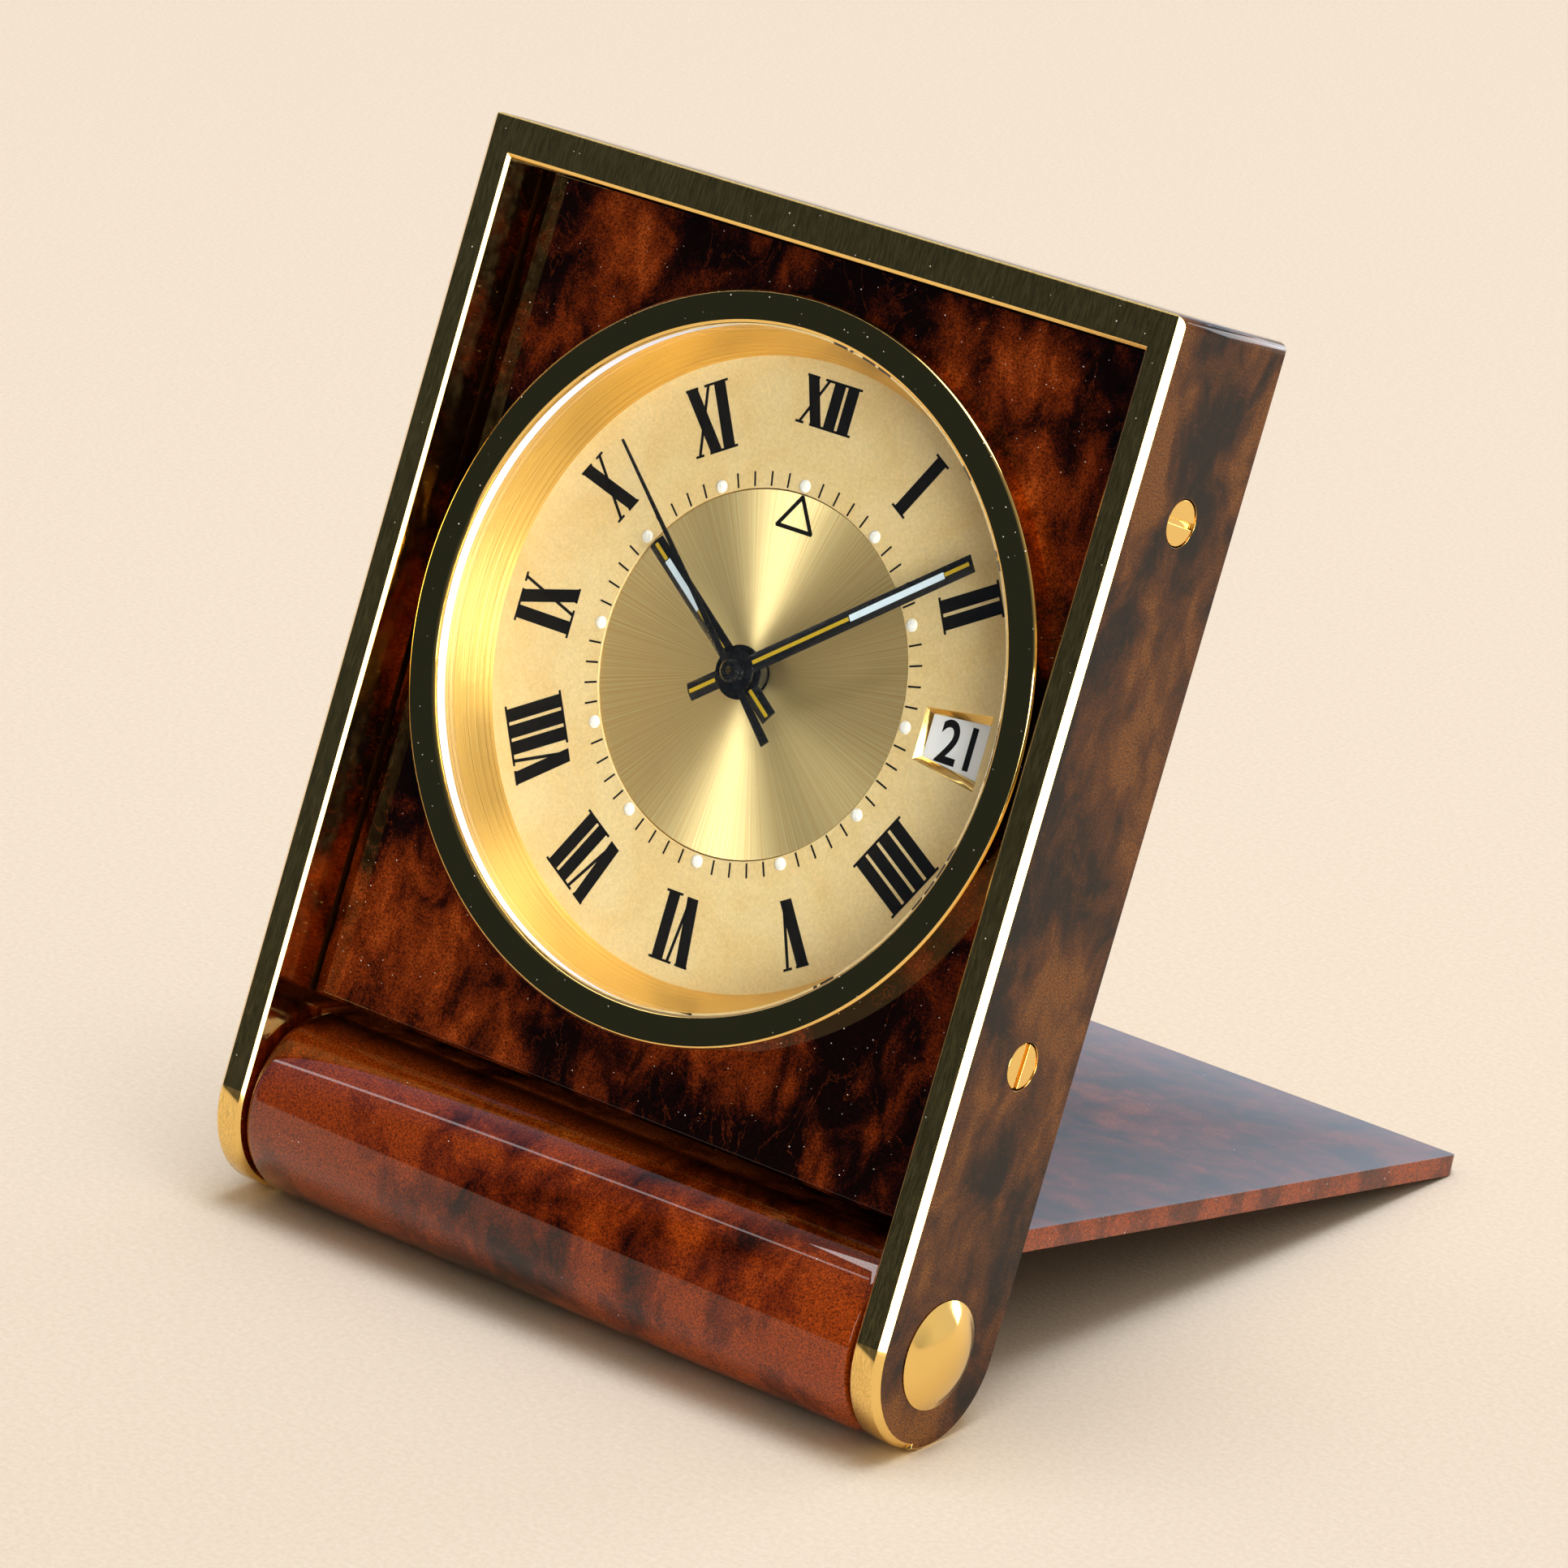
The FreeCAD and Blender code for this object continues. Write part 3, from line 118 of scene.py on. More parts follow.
def shades(finish, factor, low, high, bottom=0.0, top=1.0):
    """A number that runs from bottom to top as the factor runs from low to high."""
    return add_node(finish, "MapRange", {0: factor, 1: low, 2: high, 3: bottom, 4: top}).outputs[0]


def blend_colour(finish, factor, first, second, mode="MIX"):
    """Two colours mixed by a factor."""
    inputs = {0: factor, 6: first, 7: second}
    return add_node(finish, "Mix", inputs, data_type="RGBA", blend_type=mode).outputs[2]


def dimmed(finish, colour, amount):
    """A colour multiplied by a number."""
    grey = add_node(finish, "CombineColor", {0: amount, 1: amount, 2: amount}).outputs[0]
    return blend_colour(finish, 1.0, colour, grey, "MULTIPLY")


def face_place(finish, centre=(0, 0, 0), stretch=(1, 1, 1)):
    """Object coordinates turned into millimetres across, up and out of the face."""
    where = add_node(finish, "TexCoord").outputs["Object"]
    start = FACE @ Vector(centre)
    turn = FACE.to_3x3().normalized().to_euler()
    inputs = {"Vector": where, "Location": start, "Rotation": turn, "Scale": (0.001, 0.001, 0.001)}
    place = add_node(finish, "Mapping", inputs, vector_type="TEXTURE").outputs[0]
    if stretch != (1, 1, 1):
        place = add_node(finish, "Mapping", {"Vector": place, "Scale": stretch}).outputs[0]
    return place


def noise(finish, place, scale, detail, rough=0.5, bend=0.0):
    """Noise whose features are about one part in scale of a millimetre."""
    inputs = {"Vector": place, "Scale": scale, "Detail": detail, "Roughness": rough, "Distortion": bend}
    return add_node(finish, "TexNoise", inputs).outputs["Fac"]


def bump(finish, height, strength, depth):
    """Fine relief on a surface, its depth in millimetres."""
    inputs = {"Height": height, "Strength": strength, "Distance": depth * 0.001}
    feed(finish, "Normal", add_node(finish, "Bump", inputs).outputs[0])


def grainy(finish, scale, detail, strength, depth):
    """Fine relief in the shape of noise."""
    bump(finish, noise(finish, face_place(finish), scale, detail), strength, depth)


def specks(finish, place, amount, per_mm):
    """How far each point is covered by one of many scattered grains of dust."""
    cells = add_node(finish, "TexVoronoi", {"Vector": place, "Scale": per_mm, "Randomness": 1.0})
    pick = add_node(finish, "SeparateColor", {0: cells.outputs["Color"]})
    size = shades(finish, pick.outputs[1], 0.0, 1.0, 0.03, 0.085)
    near = reckon(finish, "LESS_THAN", cells.outputs["Distance"], size)
    few = reckon(finish, "LESS_THAN", pick.outputs[0], amount)
    return reckon(finish, "MULTIPLY", near, few)


def lacquer_finish(name, dark, tone, dust, centre=(0, 0, 0), coat_ior=1.42, gloss=1.0):
    """Dark clouds and flames under a clear polished coat, darker all over where dark is higher."""
    finish = material(name, (0.075, 0.012, 0.002), Roughness=0.5, Coat_Weight=gloss,
                      Coat_Roughness=0.02, Coat_IOR=coat_ior, Specular_IOR_Level=0.0)
    place = face_place(finish, centre)
    long_place = face_place(finish, centre, stretch=(1.0, 0.62, 1.0))
    clouds = noise(finish, long_place, 0.12, 2.0, 0.5, 0.7)
    patches = noise(finish, long_place, 0.45, 8.0, 0.60, 0.5)
    grain = noise(finish, place, 7.0, 3.0, 0.7)
    mixed = reckon(finish, "MULTIPLY_ADD", patches, 0.80, clouds)
    mixed = reckon(finish, "MULTIPLY_ADD", grain, 0.22, mixed)
    mixed = shades(finish, mixed, 0.78 + dark, 1.20 + dark)
    browns = [
        (0.22, (0.004, 0.0008, 0.0003)),
        (0.38, (0.022, 0.0032, 0.0005)),
        (0.55, (0.075, 0.0110, 0.0013)),
        (0.75, (0.130, 0.0205, 0.0026)),
        (0.97, (0.230, 0.0430, 0.0060)),
    ]
    toned = [(at, [part * share for part, share in zip(brown, tone)]) for at, brown in browns]
    colour = ramp(finish, mixed, toned)

    # Fine veins run where this noise passes its middle value.
    wave = noise(finish, long_place, 0.30, 6.0, 0.62, 0.8)
    off = reckon(finish, "ABSOLUTE", reckon(finish, "SUBTRACT", wave, 0.5))
    vein = shades(finish, off, 0.0, 0.008, 0.25, 0.0)
    colour = blend_colour(finish, vein, colour, (0.20 * tone[0], 0.036 * tone[1], 0.005 * tone[2], 1))
    fine = shades(finish, noise(finish, place, 9.0, 2.0, 0.8), 0.32, 0.68, 0.25, 1.75)
    colour = dimmed(finish, colour, fine)
    speck = specks(finish, place, dust, per_mm=2.3)
    feed(finish, "Base Color", blend_colour(finish, speck, colour, (0.70, 0.65, 0.62, 1)))
    return finish


def reworked(node, finishes, edge=0.0, corner=30, steps=2, smooth=40):
    """A copy of a CAD piece that takes its place: triangles merged, edges rounded by edge mm."""
    work = bmesh.new()
    work.from_mesh(frame["nodes"][node].data)
    bmesh.ops.remove_doubles(work, verts=work.verts, dist=1e-6)
    bmesh.ops.dissolve_limit(work, angle_limit=radians(0.3), verts=work.verts, edges=work.edges)
    mesh = bpy.data.meshes.new(node)
    work.to_mesh(mesh)
    work.free()
    for finish in finishes:
        mesh.materials.append(finish)
    piece = bpy.data.objects.new(node + "_finished", mesh)
    scene.collection.objects.link(piece)
    mesh.shade_smooth()
    mesh.set_sharp_from_angle(angle=radians(smooth))
    if edge:
        rounding = piece.modifiers.new("rounded edges", "BEVEL")
        rounding.width = edge * 0.001
        rounding.segments = steps
        rounding.limit_method = "ANGLE"
        rounding.angle_limit = radians(corner)
        rounding.harden_normals = True
        rounding.use_clamp_overlap = True
    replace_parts(piece, node)
    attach(piece, next(body for body, members in groups.items() if node in members))
    return piece


lacquer = lacquer_finish("burr_lacquer", dark=0.09, tone=(1, 1, 1), dust=0.55)
bevel_lacquer = lacquer_finish("burr_lacquer_bevel", dark=0.09, tone=(0.8, 0.8, 0.8), dust=0.3, gloss=0.25)
bare_side = material("case_side_matt", (0.020, 0.009, 0.005), Roughness=0.9, Specular_IOR_Level=0.1)
grainy(bare_side, scale=3.0, detail=4.0, strength=0.5, depth=0.02)
block = reworked("case_body", [lacquer, bare_side, bevel_lacquer], edge=0.05)

# The bevel along the panel's foot is drawn in to a quarter of its width.
PANEL_FOOT, BEVEL_ENDS_BELOW, BEVEL_STARTS_AT, BEVEL_SHARE = 5.75, 6.9, 1.5, 0.25
for vertex in block.data.vertices:
    spot = to_face @ vertex.co
    if spot.y < BEVEL_ENDS_BELOW and spot.z > BEVEL_STARTS_AT:
        vertex.co = FACE @ Vector((spot.x, PANEL_FOOT + (spot.y - PANEL_FOOT) * BEVEL_SHARE, spot.z))

# The flat panel keeps its gloss, the bevels shine less, and the sides inside the frame are bare.
for face in block.data.polygons:
    tilt = abs(facing(face).z)
    if tilt < 0.97:
        face.material_index = 1 if tilt < 0.3 else 2

# ---- Frame
# One inverted U of solid brass round the case. Its front and back edges are brushed along their
# length, and its outer sides and top are filled with the same lacquer as the case.
BRASS = (0.93, 0.63, 0.20)
HALF_WIDTH, HALF_DEPTH, ARM_INSIDE, BAR_UNDERSIDE = 22.0, 4.95, 20.2, 50.4
CHAMFER, INNER_CHAMFER = 0.34, 0.18


def dusty(finish, place, amount, roughness, colour):
    """Joins a metal's colour and roughness to its surface, with grains of dust that are not metal."""
    speck = specks(finish, place, amount, per_mm=2.2)
    feed(finish, "Metallic", shades(finish, speck, 0.0, 1.0, 1.0, 0.0))
    feed(finish, "Roughness", reckon(finish, "MAXIMUM", roughness, speck))
    feed(finish, "Base Color", blend_colour(finish, speck, colour, (0.75, 0.72, 0.66, 1)))


brushed_brass = material("brass_brushed_front", BRASS, Metallic=1.0, Roughness=0.16, Anisotropic=0.8)
place = face_place(brushed_brass)
lines = noise(brushed_brass, face_place(brushed_brass, stretch=(13.0, 1.1, 13.0)), 1.0, 3.0, 0.7)
tarnish = shades(brushed_brass, noise(brushed_brass, place, 0.7, 5.0, 0.7), 0.45, 0.75, 0.0, 0.35)
colour = blend_colour(brushed_brass, tarnish, (*BRASS, 1), (0.74, 0.50, 0.18, 1))
colour = dimmed(brushed_brass, colour, shades(brushed_brass, lines, 0.35, 0.65, 0.75, 1.15))
dusty(brushed_brass, place, 0.25, shades(brushed_brass, lines, 0.3, 0.7, 0.13, 0.19), colour)
feed(brushed_brass, "Tangent", add_node(brushed_brass, "CombineXYZ", {0: 1.0}).outputs[0])
polished_brass = material("brass_polished", BRASS, Metallic=1.0, Roughness=0.12)
haze = noise(polished_brass, face_place(polished_brass), 1.2, 5.0, 0.7)
feed(polished_brass, "Roughness", shades(polished_brass, haze, 0.35, 0.75, 0.08, 0.20))
side_lacquer = lacquer_finish("side_lacquer", dark=-0.04, tone=(0.52, 0.92, 0.78), dust=0.04, coat_ior=1.34)
arch = reworked("frame", [brushed_brass, polished_brass, side_lacquer], edge=0.03)

# The chamfers along the inner front edges are narrowed to INNER_CHAMFER, and the outer ones kept.
# Points in the front band count as on a chamfer's edge within SNAP of it.
MID_ARM, FRONT_BAND, SNAP = 21.0, 0.45, 0.02
for vertex in arch.data.vertices:
    spot = to_face @ vertex.co
    depth = spot.z if spot.y > 0 else Vector((spot.y, spot.z)).length
    side = abs(spot.x)
    chamfer = CHAMFER if side > MID_ARM else INNER_CHAMFER
    if depth > HALF_DEPTH - FRONT_BAND and spot.z > FRONT_BAND - HALF_DEPTH:
        if abs(depth - (HALF_DEPTH - CHAMFER)) < SNAP:
            scale = (HALF_DEPTH - chamfer) / depth
            spot = Vector((spot.x, spot.y * (1 if spot.y > 0 else scale), spot.z * scale))
        elif abs(side - (HALF_WIDTH - CHAMFER)) < SNAP:
            spot.x *= (HALF_WIDTH - chamfer) / side
        elif abs(side - (ARM_INSIDE + CHAMFER)) < SNAP:
            spot.x *= (ARM_INSIDE + chamfer) / side
        if abs(spot.y - (BAR_UNDERSIDE + CHAMFER)) < SNAP:
            spot.y = BAR_UNDERSIDE + chamfer
        vertex.co = FACE @ spot

# Lacquer on the outer sides, the top and the bar's underside; polish on the chamfers and inner walls.
# Faces with many corners are shaded flat, so that the rounded edges leave them plane.
for face in arch.data.polygons:
    face.use_smooth = len(face.vertices) < 7
    centre, normal = to_face @ face.center, facing(face)
    on_bar = centre.y > BAR_UNDERSIDE - 0.4
    outside = normal.x * centre.x > MID_ARM
    top_or_underside = on_bar and abs(normal.z) < 0.1 and (normal.y > 0.05 or normal.y < -0.99)
    if outside or top_or_underside:
        face.material_index = 2
    elif abs(normal.z) < 0.9 and (abs(normal.x) > 0.1 or normal.y < -0.1 and on_bar):
        face.material_index = 1

# ---- Side screws
# Four slotted cheese-head screws of brass that hold the case between the arms, two on each side.
# They are turned, and their heads are polished.
reworked("side_screws", [polished_brass], edge=0.03)

# ---- Hinge studs and washers
# Two brass studs with low domed heads, turned and polished, one through the foot of each arm. A
# thin steel spring washer on each gives the cover its friction.
STUD_RADIUS, STUD_REACH, CAP_RADIUS, CAP_HEIGHT = 1.5, 3.6, 2.85, 0.95
RIM_WIDTH, RIM_HEIGHT, DOME_STEPS = 0.07, 0.05, 12


def uneven_gloss(finish, scale, detail, least, most):
    """Roughness that wanders between two values in small clouds."""
    clouds = noise(finish, face_place(finish), scale, detail)
    feed(finish, "Roughness", shades(finish, clouds, 0.3, 0.7, least, most))


def new_piece(name, work, finishes, body, place=DIAL, smooth=40):
    """A new piece drawn in millimetres, put at its place on the clock."""
    work.transform(place)
    mesh = bpy.data.meshes.new(name)
    work.to_mesh(mesh)
    work.free()
    for finish in finishes:
        mesh.materials.append(finish)
    mesh.shade_smooth()
    mesh.set_sharp_from_angle(angle=radians(smooth))
    piece = bpy.data.objects.new(name, mesh)
    scene.collection.objects.link(piece)
    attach(piece, body)
    return piece


steel = material("steel_polished", (0.62, 0.62, 0.63), Metallic=1.0, Roughness=0.22)
uneven_gloss(steel, scale=3.0, detail=4.0, least=0.16, most=0.30)
stud_end = ARM_INSIDE - STUD_REACH
ball = (CAP_RADIUS ** 2 + CAP_HEIGHT ** 2) / (2 * CAP_HEIGHT)
stud_outline = [(0, stud_end), (STUD_RADIUS, stud_end), (STUD_RADIUS, HALF_WIDTH),
                (CAP_RADIUS - RIM_WIDTH, HALF_WIDTH), (CAP_RADIUS, HALF_WIDTH + RIM_HEIGHT)]
for step in range(1, DOME_STEPS + 1):
    radius = CAP_RADIUS * (1 - step / DOME_STEPS)
    bulge = (ball ** 2 - radius ** 2) ** 0.5 - (ball - CAP_HEIGHT)
    stud_outline.append((radius, HALF_WIDTH + bulge))
studs = bmesh.new()
for side in (-1, 1):
    line = [studs.verts.new((side * along, radius, 0)) for radius, along in stud_outline]
    edges = [studs.edges.new(pair) for pair in zip(line, line[1:])]
    bmesh.ops.spin(studs, geom=line + edges, cent=(0, 0, 0), axis=(1, 0, 0), angle=2 * pi, steps=64,
                   use_merge=True)
bmesh.ops.remove_doubles(studs, verts=studs.verts, dist=1e-4)
bmesh.ops.recalc_face_normals(studs, faces=studs.faces)
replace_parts(new_piece("domed_studs", studs, [polished_brass], "clock", FACE), "hinge_studs")
frame["nodes"]["friction_washers"].data.materials[0] = steel

# ---- Cover
# A flat leaf with a round barrel along its hinge edge, lacquered all over to match the case. It
# closes over the dial and folds right round to make the stand; two bushes line the barrel's bore.
LACQUER_SHIFT = (7, 3, 2)    # the cover's clouds come from another place in the pattern than the case's
# The leaf's lacquer is a darker, slightly bluer copy of the case's lacquer. Its darkness is painted shade.
leaf_finish_painted_shade = lacquer_finish("leaf_lacquer_painted_shade", dark=-0.05, tone=(0.45, 0.45, 0.5), dust=0.04,
                             centre=LACQUER_SHIFT)
barrel_finish_with_painted_shade = lacquer_finish("cover_lacquer_painted_shade", dark=-0.12, tone=(0.84, 0.68, 0.40), dust=0.10,
                               centre=LACQUER_SHIFT, coat_ior=1.48)

# Painted shade: the barrel's colour darkens towards its top, in front of its axis, under the foot of the case.
parts = add_node(barrel_finish_with_painted_shade, "SeparateXYZ", {0: face_place(barrel_finish_with_painted_shade)})
colour = barrel_finish_with_painted_shade.node_tree.nodes["Principled BSDF"].inputs["Base Color"].links[0].from_socket
painted_shade_near_top = shades(barrel_finish_with_painted_shade, parts.outputs[1], 3.0, 4.6, 1.0, 0.2)
behind = shades(barrel_finish_with_painted_shade, parts.outputs[2], 0.3, 1.3, 1.0, 0.0)
painted_shade_colour = dimmed(barrel_finish_with_painted_shade, colour, reckon(barrel_finish_with_painted_shade, "MAXIMUM", painted_shade_near_top, behind))
feed(barrel_finish_with_painted_shade, "Base Color", painted_shade_colour)

# Only the leaf's two flat sides are larger than this area.
LEAF_AREA_M2 = 1.5e-3
cover = reworked("cover", [barrel_finish_with_painted_shade, leaf_finish_painted_shade], edge=0.30, corner=25, steps=4, smooth=50)
for face in cover.data.polygons:
    if face.area > LEAF_AREA_M2:
        face.material_index = 1

gilt = material("brass_gilt_matt", (0.80, 0.62, 0.33), Metallic=1.0, Roughness=0.36)
uneven_gloss(gilt, scale=6.0, detail=5.0, least=0.30, most=0.44)
frame["nodes"]["barrel_bushes"].data.materials[0] = gilt

# ---- Bezel
# A turned and polished brass ring pressed over the case: a bright bevel outside, a flat polished
# top, and a thin lip that holds the glass.
BEZEL_RADIUS, BEZEL_OPENING, BEZEL_TOP, BEZEL_SEAT = 19.2, 17.5, 3.6, 2.15
RING_STEPS = 256


def turned_ring(outline, closed=True):
    """A ring or disc turned about the dial's centre from its (radius, level) outline."""
    work = bmesh.new()
    line = [work.verts.new((radius, 0, level)) for radius, level in outline]
    edges = [work.edges.new(pair) for pair in zip(line, line[1:] + line[:1] * closed)]
    bmesh.ops.spin(work, geom=line + edges, cent=(0, 0, 0), axis=(0, 0, 1), angle=2 * pi,
                   steps=RING_STEPS, use_merge=True)
    bmesh.ops.remove_doubles(work, verts=work.verts, dist=1e-4)
    bmesh.ops.recalc_face_normals(work, faces=work.faces)
    return work


bezel_brass = material("brass_bezel", BRASS, Metallic=1.0, Roughness=0.07)
place = face_place(bezel_brass, DIAL_CENTRE)
dull = shades(bezel_brass, noise(bezel_brass, place, 1.5, 5.0), 0.35, 0.75, 0.05, 0.09)
dusty(bezel_brass, place, 0.75, dull, (*BRASS, 1))

# Two points 0.02 apart beside each corner keep the flats flat when the ring is shaded smoothly.
bezel_outline = [
    (BEZEL_OPENING, 0.55), (17.97, 0.55), (17.97, BEZEL_SEAT), (BEZEL_RADIUS, BEZEL_SEAT),
    (BEZEL_RADIUS, 3.44), (BEZEL_RADIUS, 3.46), (19.185, 3.49), (19.09, 3.585), (19.06, BEZEL_TOP),
    (19.04, BEZEL_TOP), (17.66, BEZEL_TOP), (17.64, BEZEL_TOP), (17.62, 3.593), (17.507, 3.50),
    (BEZEL_OPENING, 3.48), (BEZEL_OPENING, 3.46),
]
bezel = new_piece("turned_bezel", turned_ring(bezel_outline), [bezel_brass], "clock", smooth=30)
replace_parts(bezel, "bezel")

# ---- Crystal
# A flat disc of mineral glass with a small polished bevel and a ground edge. It is pressed into
# the bezel from behind.
CRYSTAL_RADIUS, CRYSTAL_BACK, CRYSTAL_FRONT, CRYSTAL_BEVEL = 17.485, 2.1, 3.45, 0.1

# Shadow rays pass straight through the glass, so that it hardly dims the dial.
glass = material("glass_clear", (0.97, 0.99, 1.0), Roughness=0.0, IOR=1.5, Transmission_Weight=1.0)
clear = add_node(glass, "BsdfTransparent", {0: (0.95, 0.97, 0.98, 1)}).outputs[0]
in_shadow = add_node(glass, "LightPath").outputs["Is Shadow Ray"]
refracting = glass.node_tree.nodes["Principled BSDF"].outputs[0]
through = add_node(glass, "MixShader", {0: in_shadow, 1: refracting, 2: clear}).outputs[0]
glass.node_tree.links.new(through, glass.node_tree.nodes["Material Output"].inputs["Surface"])
# The ground edge is whitish, as ground glass is. Its cool lilac tint is a painted reflection.
ground = material("glass_ground_edge_painted_tint", (0.72, 0.73, 0.82), Roughness=0.6)
grainy(ground, scale=14.0, detail=3.0, strength=0.4, depth=0.02)
crystal_outline = [
    (0, CRYSTAL_BACK), (CRYSTAL_RADIUS, CRYSTAL_BACK), (CRYSTAL_RADIUS, CRYSTAL_FRONT - CRYSTAL_BEVEL),
    (CRYSTAL_RADIUS - CRYSTAL_BEVEL, CRYSTAL_FRONT), (0, CRYSTAL_FRONT),
]
disc = turned_ring(crystal_outline, closed=False)
crystal = new_piece("flat_crystal", disc, [glass, ground], "clock", smooth=30)
for face in crystal.data.polygons:
    if abs(face.normal.dot(outward)) < 0.1:
        face.material_index = 1
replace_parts(crystal, "crystal")

# ---- Flange ring
# The deep cone between the glass and the dial, turned in brass and left with fine lathe lines. It
# stands on the edge of the dial, under the glass.
flange = material("brass_turned", (0.95, 0.66, 0.21), Metallic=1.0, Roughness=0.3)
parts = add_node(flange, "SeparateXYZ", {0: face_place(flange, DIAL_CENTRE)})
level = add_node(flange, "CombineXYZ", {2: parts.outputs[2]}).outputs[0]
lines = noise(flange, level, 15.0, 3.0, 0.75)
feed(flange, "Roughness", shades(flange, lines, 0.35, 0.65, 0.22, 0.42))
bump(flange, lines, strength=0.8, depth=0.02)
golds = [(0.36, (0.66, 0.40, 0.11)), (0.50, (0.84, 0.56, 0.17)), (0.64, (0.94, 0.70, 0.27))]
feed(flange, "Base Color", ramp(flange, lines, golds))
reworked("rehaut", [flange], smooth=30)

# ---- Dial
# A flat brass ring plated a fine-grained champagne colour, with a bevelled window for the date. It
# is held by its edge under the flange ring.
DIAL_FRONT = -0.35
champagne = material("champagne_grained", (0.90, 0.72, 0.37), Metallic=0.35, Roughness=0.48)
place = face_place(champagne, DIAL_CENTRE)
grain = noise(champagne, place, 7.0, 4.0, 0.7)
age = noise(champagne, place, 0.22, 5.0, 0.6, 0.6)
aged = [(0.35, (0.84, 0.60, 0.25)), (0.55, (0.87, 0.66, 0.31)), (0.75, (0.88, 0.69, 0.36))]
fine = shades(champagne, grain, 0.3, 0.7, 0.88, 1.10)
feed(champagne, "Base Color", dimmed(champagne, ramp(champagne, age, aged), fine))
bump(champagne, grain, strength=0.5, depth=0.02)

# The slopes round the date window are polished.
dial = reworked("dial", [champagne, polished_brass], edge=0.02)
for face in dial.data.polygons:
    if 0.1 < abs(facing(face).z) < 0.95:
        face.material_index = 1

# ---- Numerals and marks
# Roman hours printed in black with their heads outwards, the date window standing for three, and
# four fine minute strokes between each pair of hour dots.
THICK, THIN, SERIF, INK_HEIGHT = 0.69, 0.17, 0.13, 0.03
HOUR_FOOT, HOUR_HEAD = 11.75, 15.25
TWELVE_FOOT, TWELVE_HEAD = 12.95, 15.35
MINUTE_FOOT, MINUTE_HEAD, MINUTE_WIDTH = 9.60, 10.36, 0.10

# Each letter: its width, its strokes as (across at the foot, across at the head, thickness), and
# the stretches of its serifs at the head and at the foot, all from the letter's left.
LETTERS = {
    "I": (0.87, [(0.435, 0.435, THICK)], [(-0.09, 0.96)], [(-0.09, 0.96)]),
    "V": (1.50, [(0.77, 0.36, THICK), (0.89, 1.28, THIN)], [(-0.02, 0.76), (1.02, 1.54)], []),
    "X": (1.68, [(1.30, 0.38, THICK), (0.26, 1.42, THIN)], [(0.0, 0.78), (1.16, 1.66)],
          [(0.02, 0.52), (0.90, 1.68)]),
}


def stroke(work, start, end, width, turn, level=DIAL_FRONT):
    """A printed bar with level ends, from its foot at start to its head at end, width across."""
    (x0, y0), (x1, y1) = start, end
    shape = Matrix(((width, x1 - x0, 0, (x0 + x1) / 2), (0, y1 - y0, 0, (y0 + y1) / 2),
                    (0, 0, INK_HEIGHT, level), (0, 0, 0, 1)))
    bmesh.ops.create_cube(work, size=1.0, matrix=turn @ shape)


def numeral(work, letters, hour, foot, head):
    """One Roman number, centred on its hour and standing on the radius foot."""
    turn = Matrix.Rotation(-radians(30 * hour), 4, "Z")
    left = -sum(LETTERS[letter][0] for letter in letters) / 2
    for letter in letters:
        width, strokes, head_serifs, foot_serifs = LETTERS[letter]
        for at_foot, at_head, thickness in strokes:
            stroke(work, (left + at_foot, foot), (left + at_head, head), thickness, turn)
        for radius, serifs in ((head, head_serifs), (foot, foot_serifs)):
            for start, end in serifs:
                middle = left + (start + end) / 2
                low, high = (middle, radius - SERIF / 2), (middle, radius + SERIF / 2)
                stroke(work, low, high, end - start, turn)
        left += width


ink = material("printed_black", (0.006, 0.005, 0.004), Roughness=0.5, Specular_IOR_Level=0.1)
uneven_gloss(ink, scale=4.0, detail=3.0, least=0.38, most=0.55)
printing = bmesh.new()
names = ("I", "II", None, "IIII", "V", "VI", "VII", "VIII", "IX", "X", "XI")
for hour, letters in enumerate(names, 1):
    if letters:
        numeral(printing, letters, hour, HOUR_FOOT, HOUR_HEAD)
numeral(printing, "XII", 12, TWELVE_FOOT, TWELVE_HEAD)
for minute in range(60):
    if minute % 5:
        turn = Matrix.Rotation(-radians(6 * minute), 4, "Z")
        stroke(printing, (0, MINUTE_FOOT), (0, MINUTE_HEAD), MINUTE_WIDTH, turn)
new_piece("dial_printing", printing, [ink], "clock")

# ---- Hour dots
# Twelve small dots of white luminous paint, one at each hour round the alarm disc. Each is a
# drop of thick paint that stands a little proud of the dial.
DOT_RADIUS, DOT_CIRCLE, DOT_FLATNESS = 0.34, 9.90, 0.42
lume = material("luminous_white", (0.80, 0.78, 0.69), Roughness=0.7)
grainy(lume, scale=7.0, detail=3.0, strength=1.0, depth=0.05)
dots = bmesh.new()
for hour in range(12):
    spot = Matrix.Rotation(-radians(30 * hour), 4, "Z") @ Matrix.Translation((0, DOT_CIRCLE, DIAL_FRONT))
    bmesh.ops.create_uvsphere(dots, u_segments=20, v_segments=10, radius=DOT_RADIUS,
                              matrix=spot @ Matrix.Diagonal((1, 1, DOT_FLATNESS, 1)))
new_piece("hour_dots", dots, [lume], "clock")

# ---- Date ring
# A disc behind the dial, painted white and printed with the 31 days, one of them in the window. It
# turns on the movement, one tooth a day.
SHOWN_DAY, DAY_CIRCLE, DAY_LEVEL = 21, 12.85, DIAL_FRONT - 0.395
DAY_SIZE, DAY_NARROWING = 3.1, 0.86
paper = material("date_white", (0.86, 0.87, 0.86), Roughness=0.5)
grainy(paper, scale=6.0, detail=3.0, strength=0.3, depth=0.01)
frame["nodes"]["date_ring"].data.materials[0] = paper


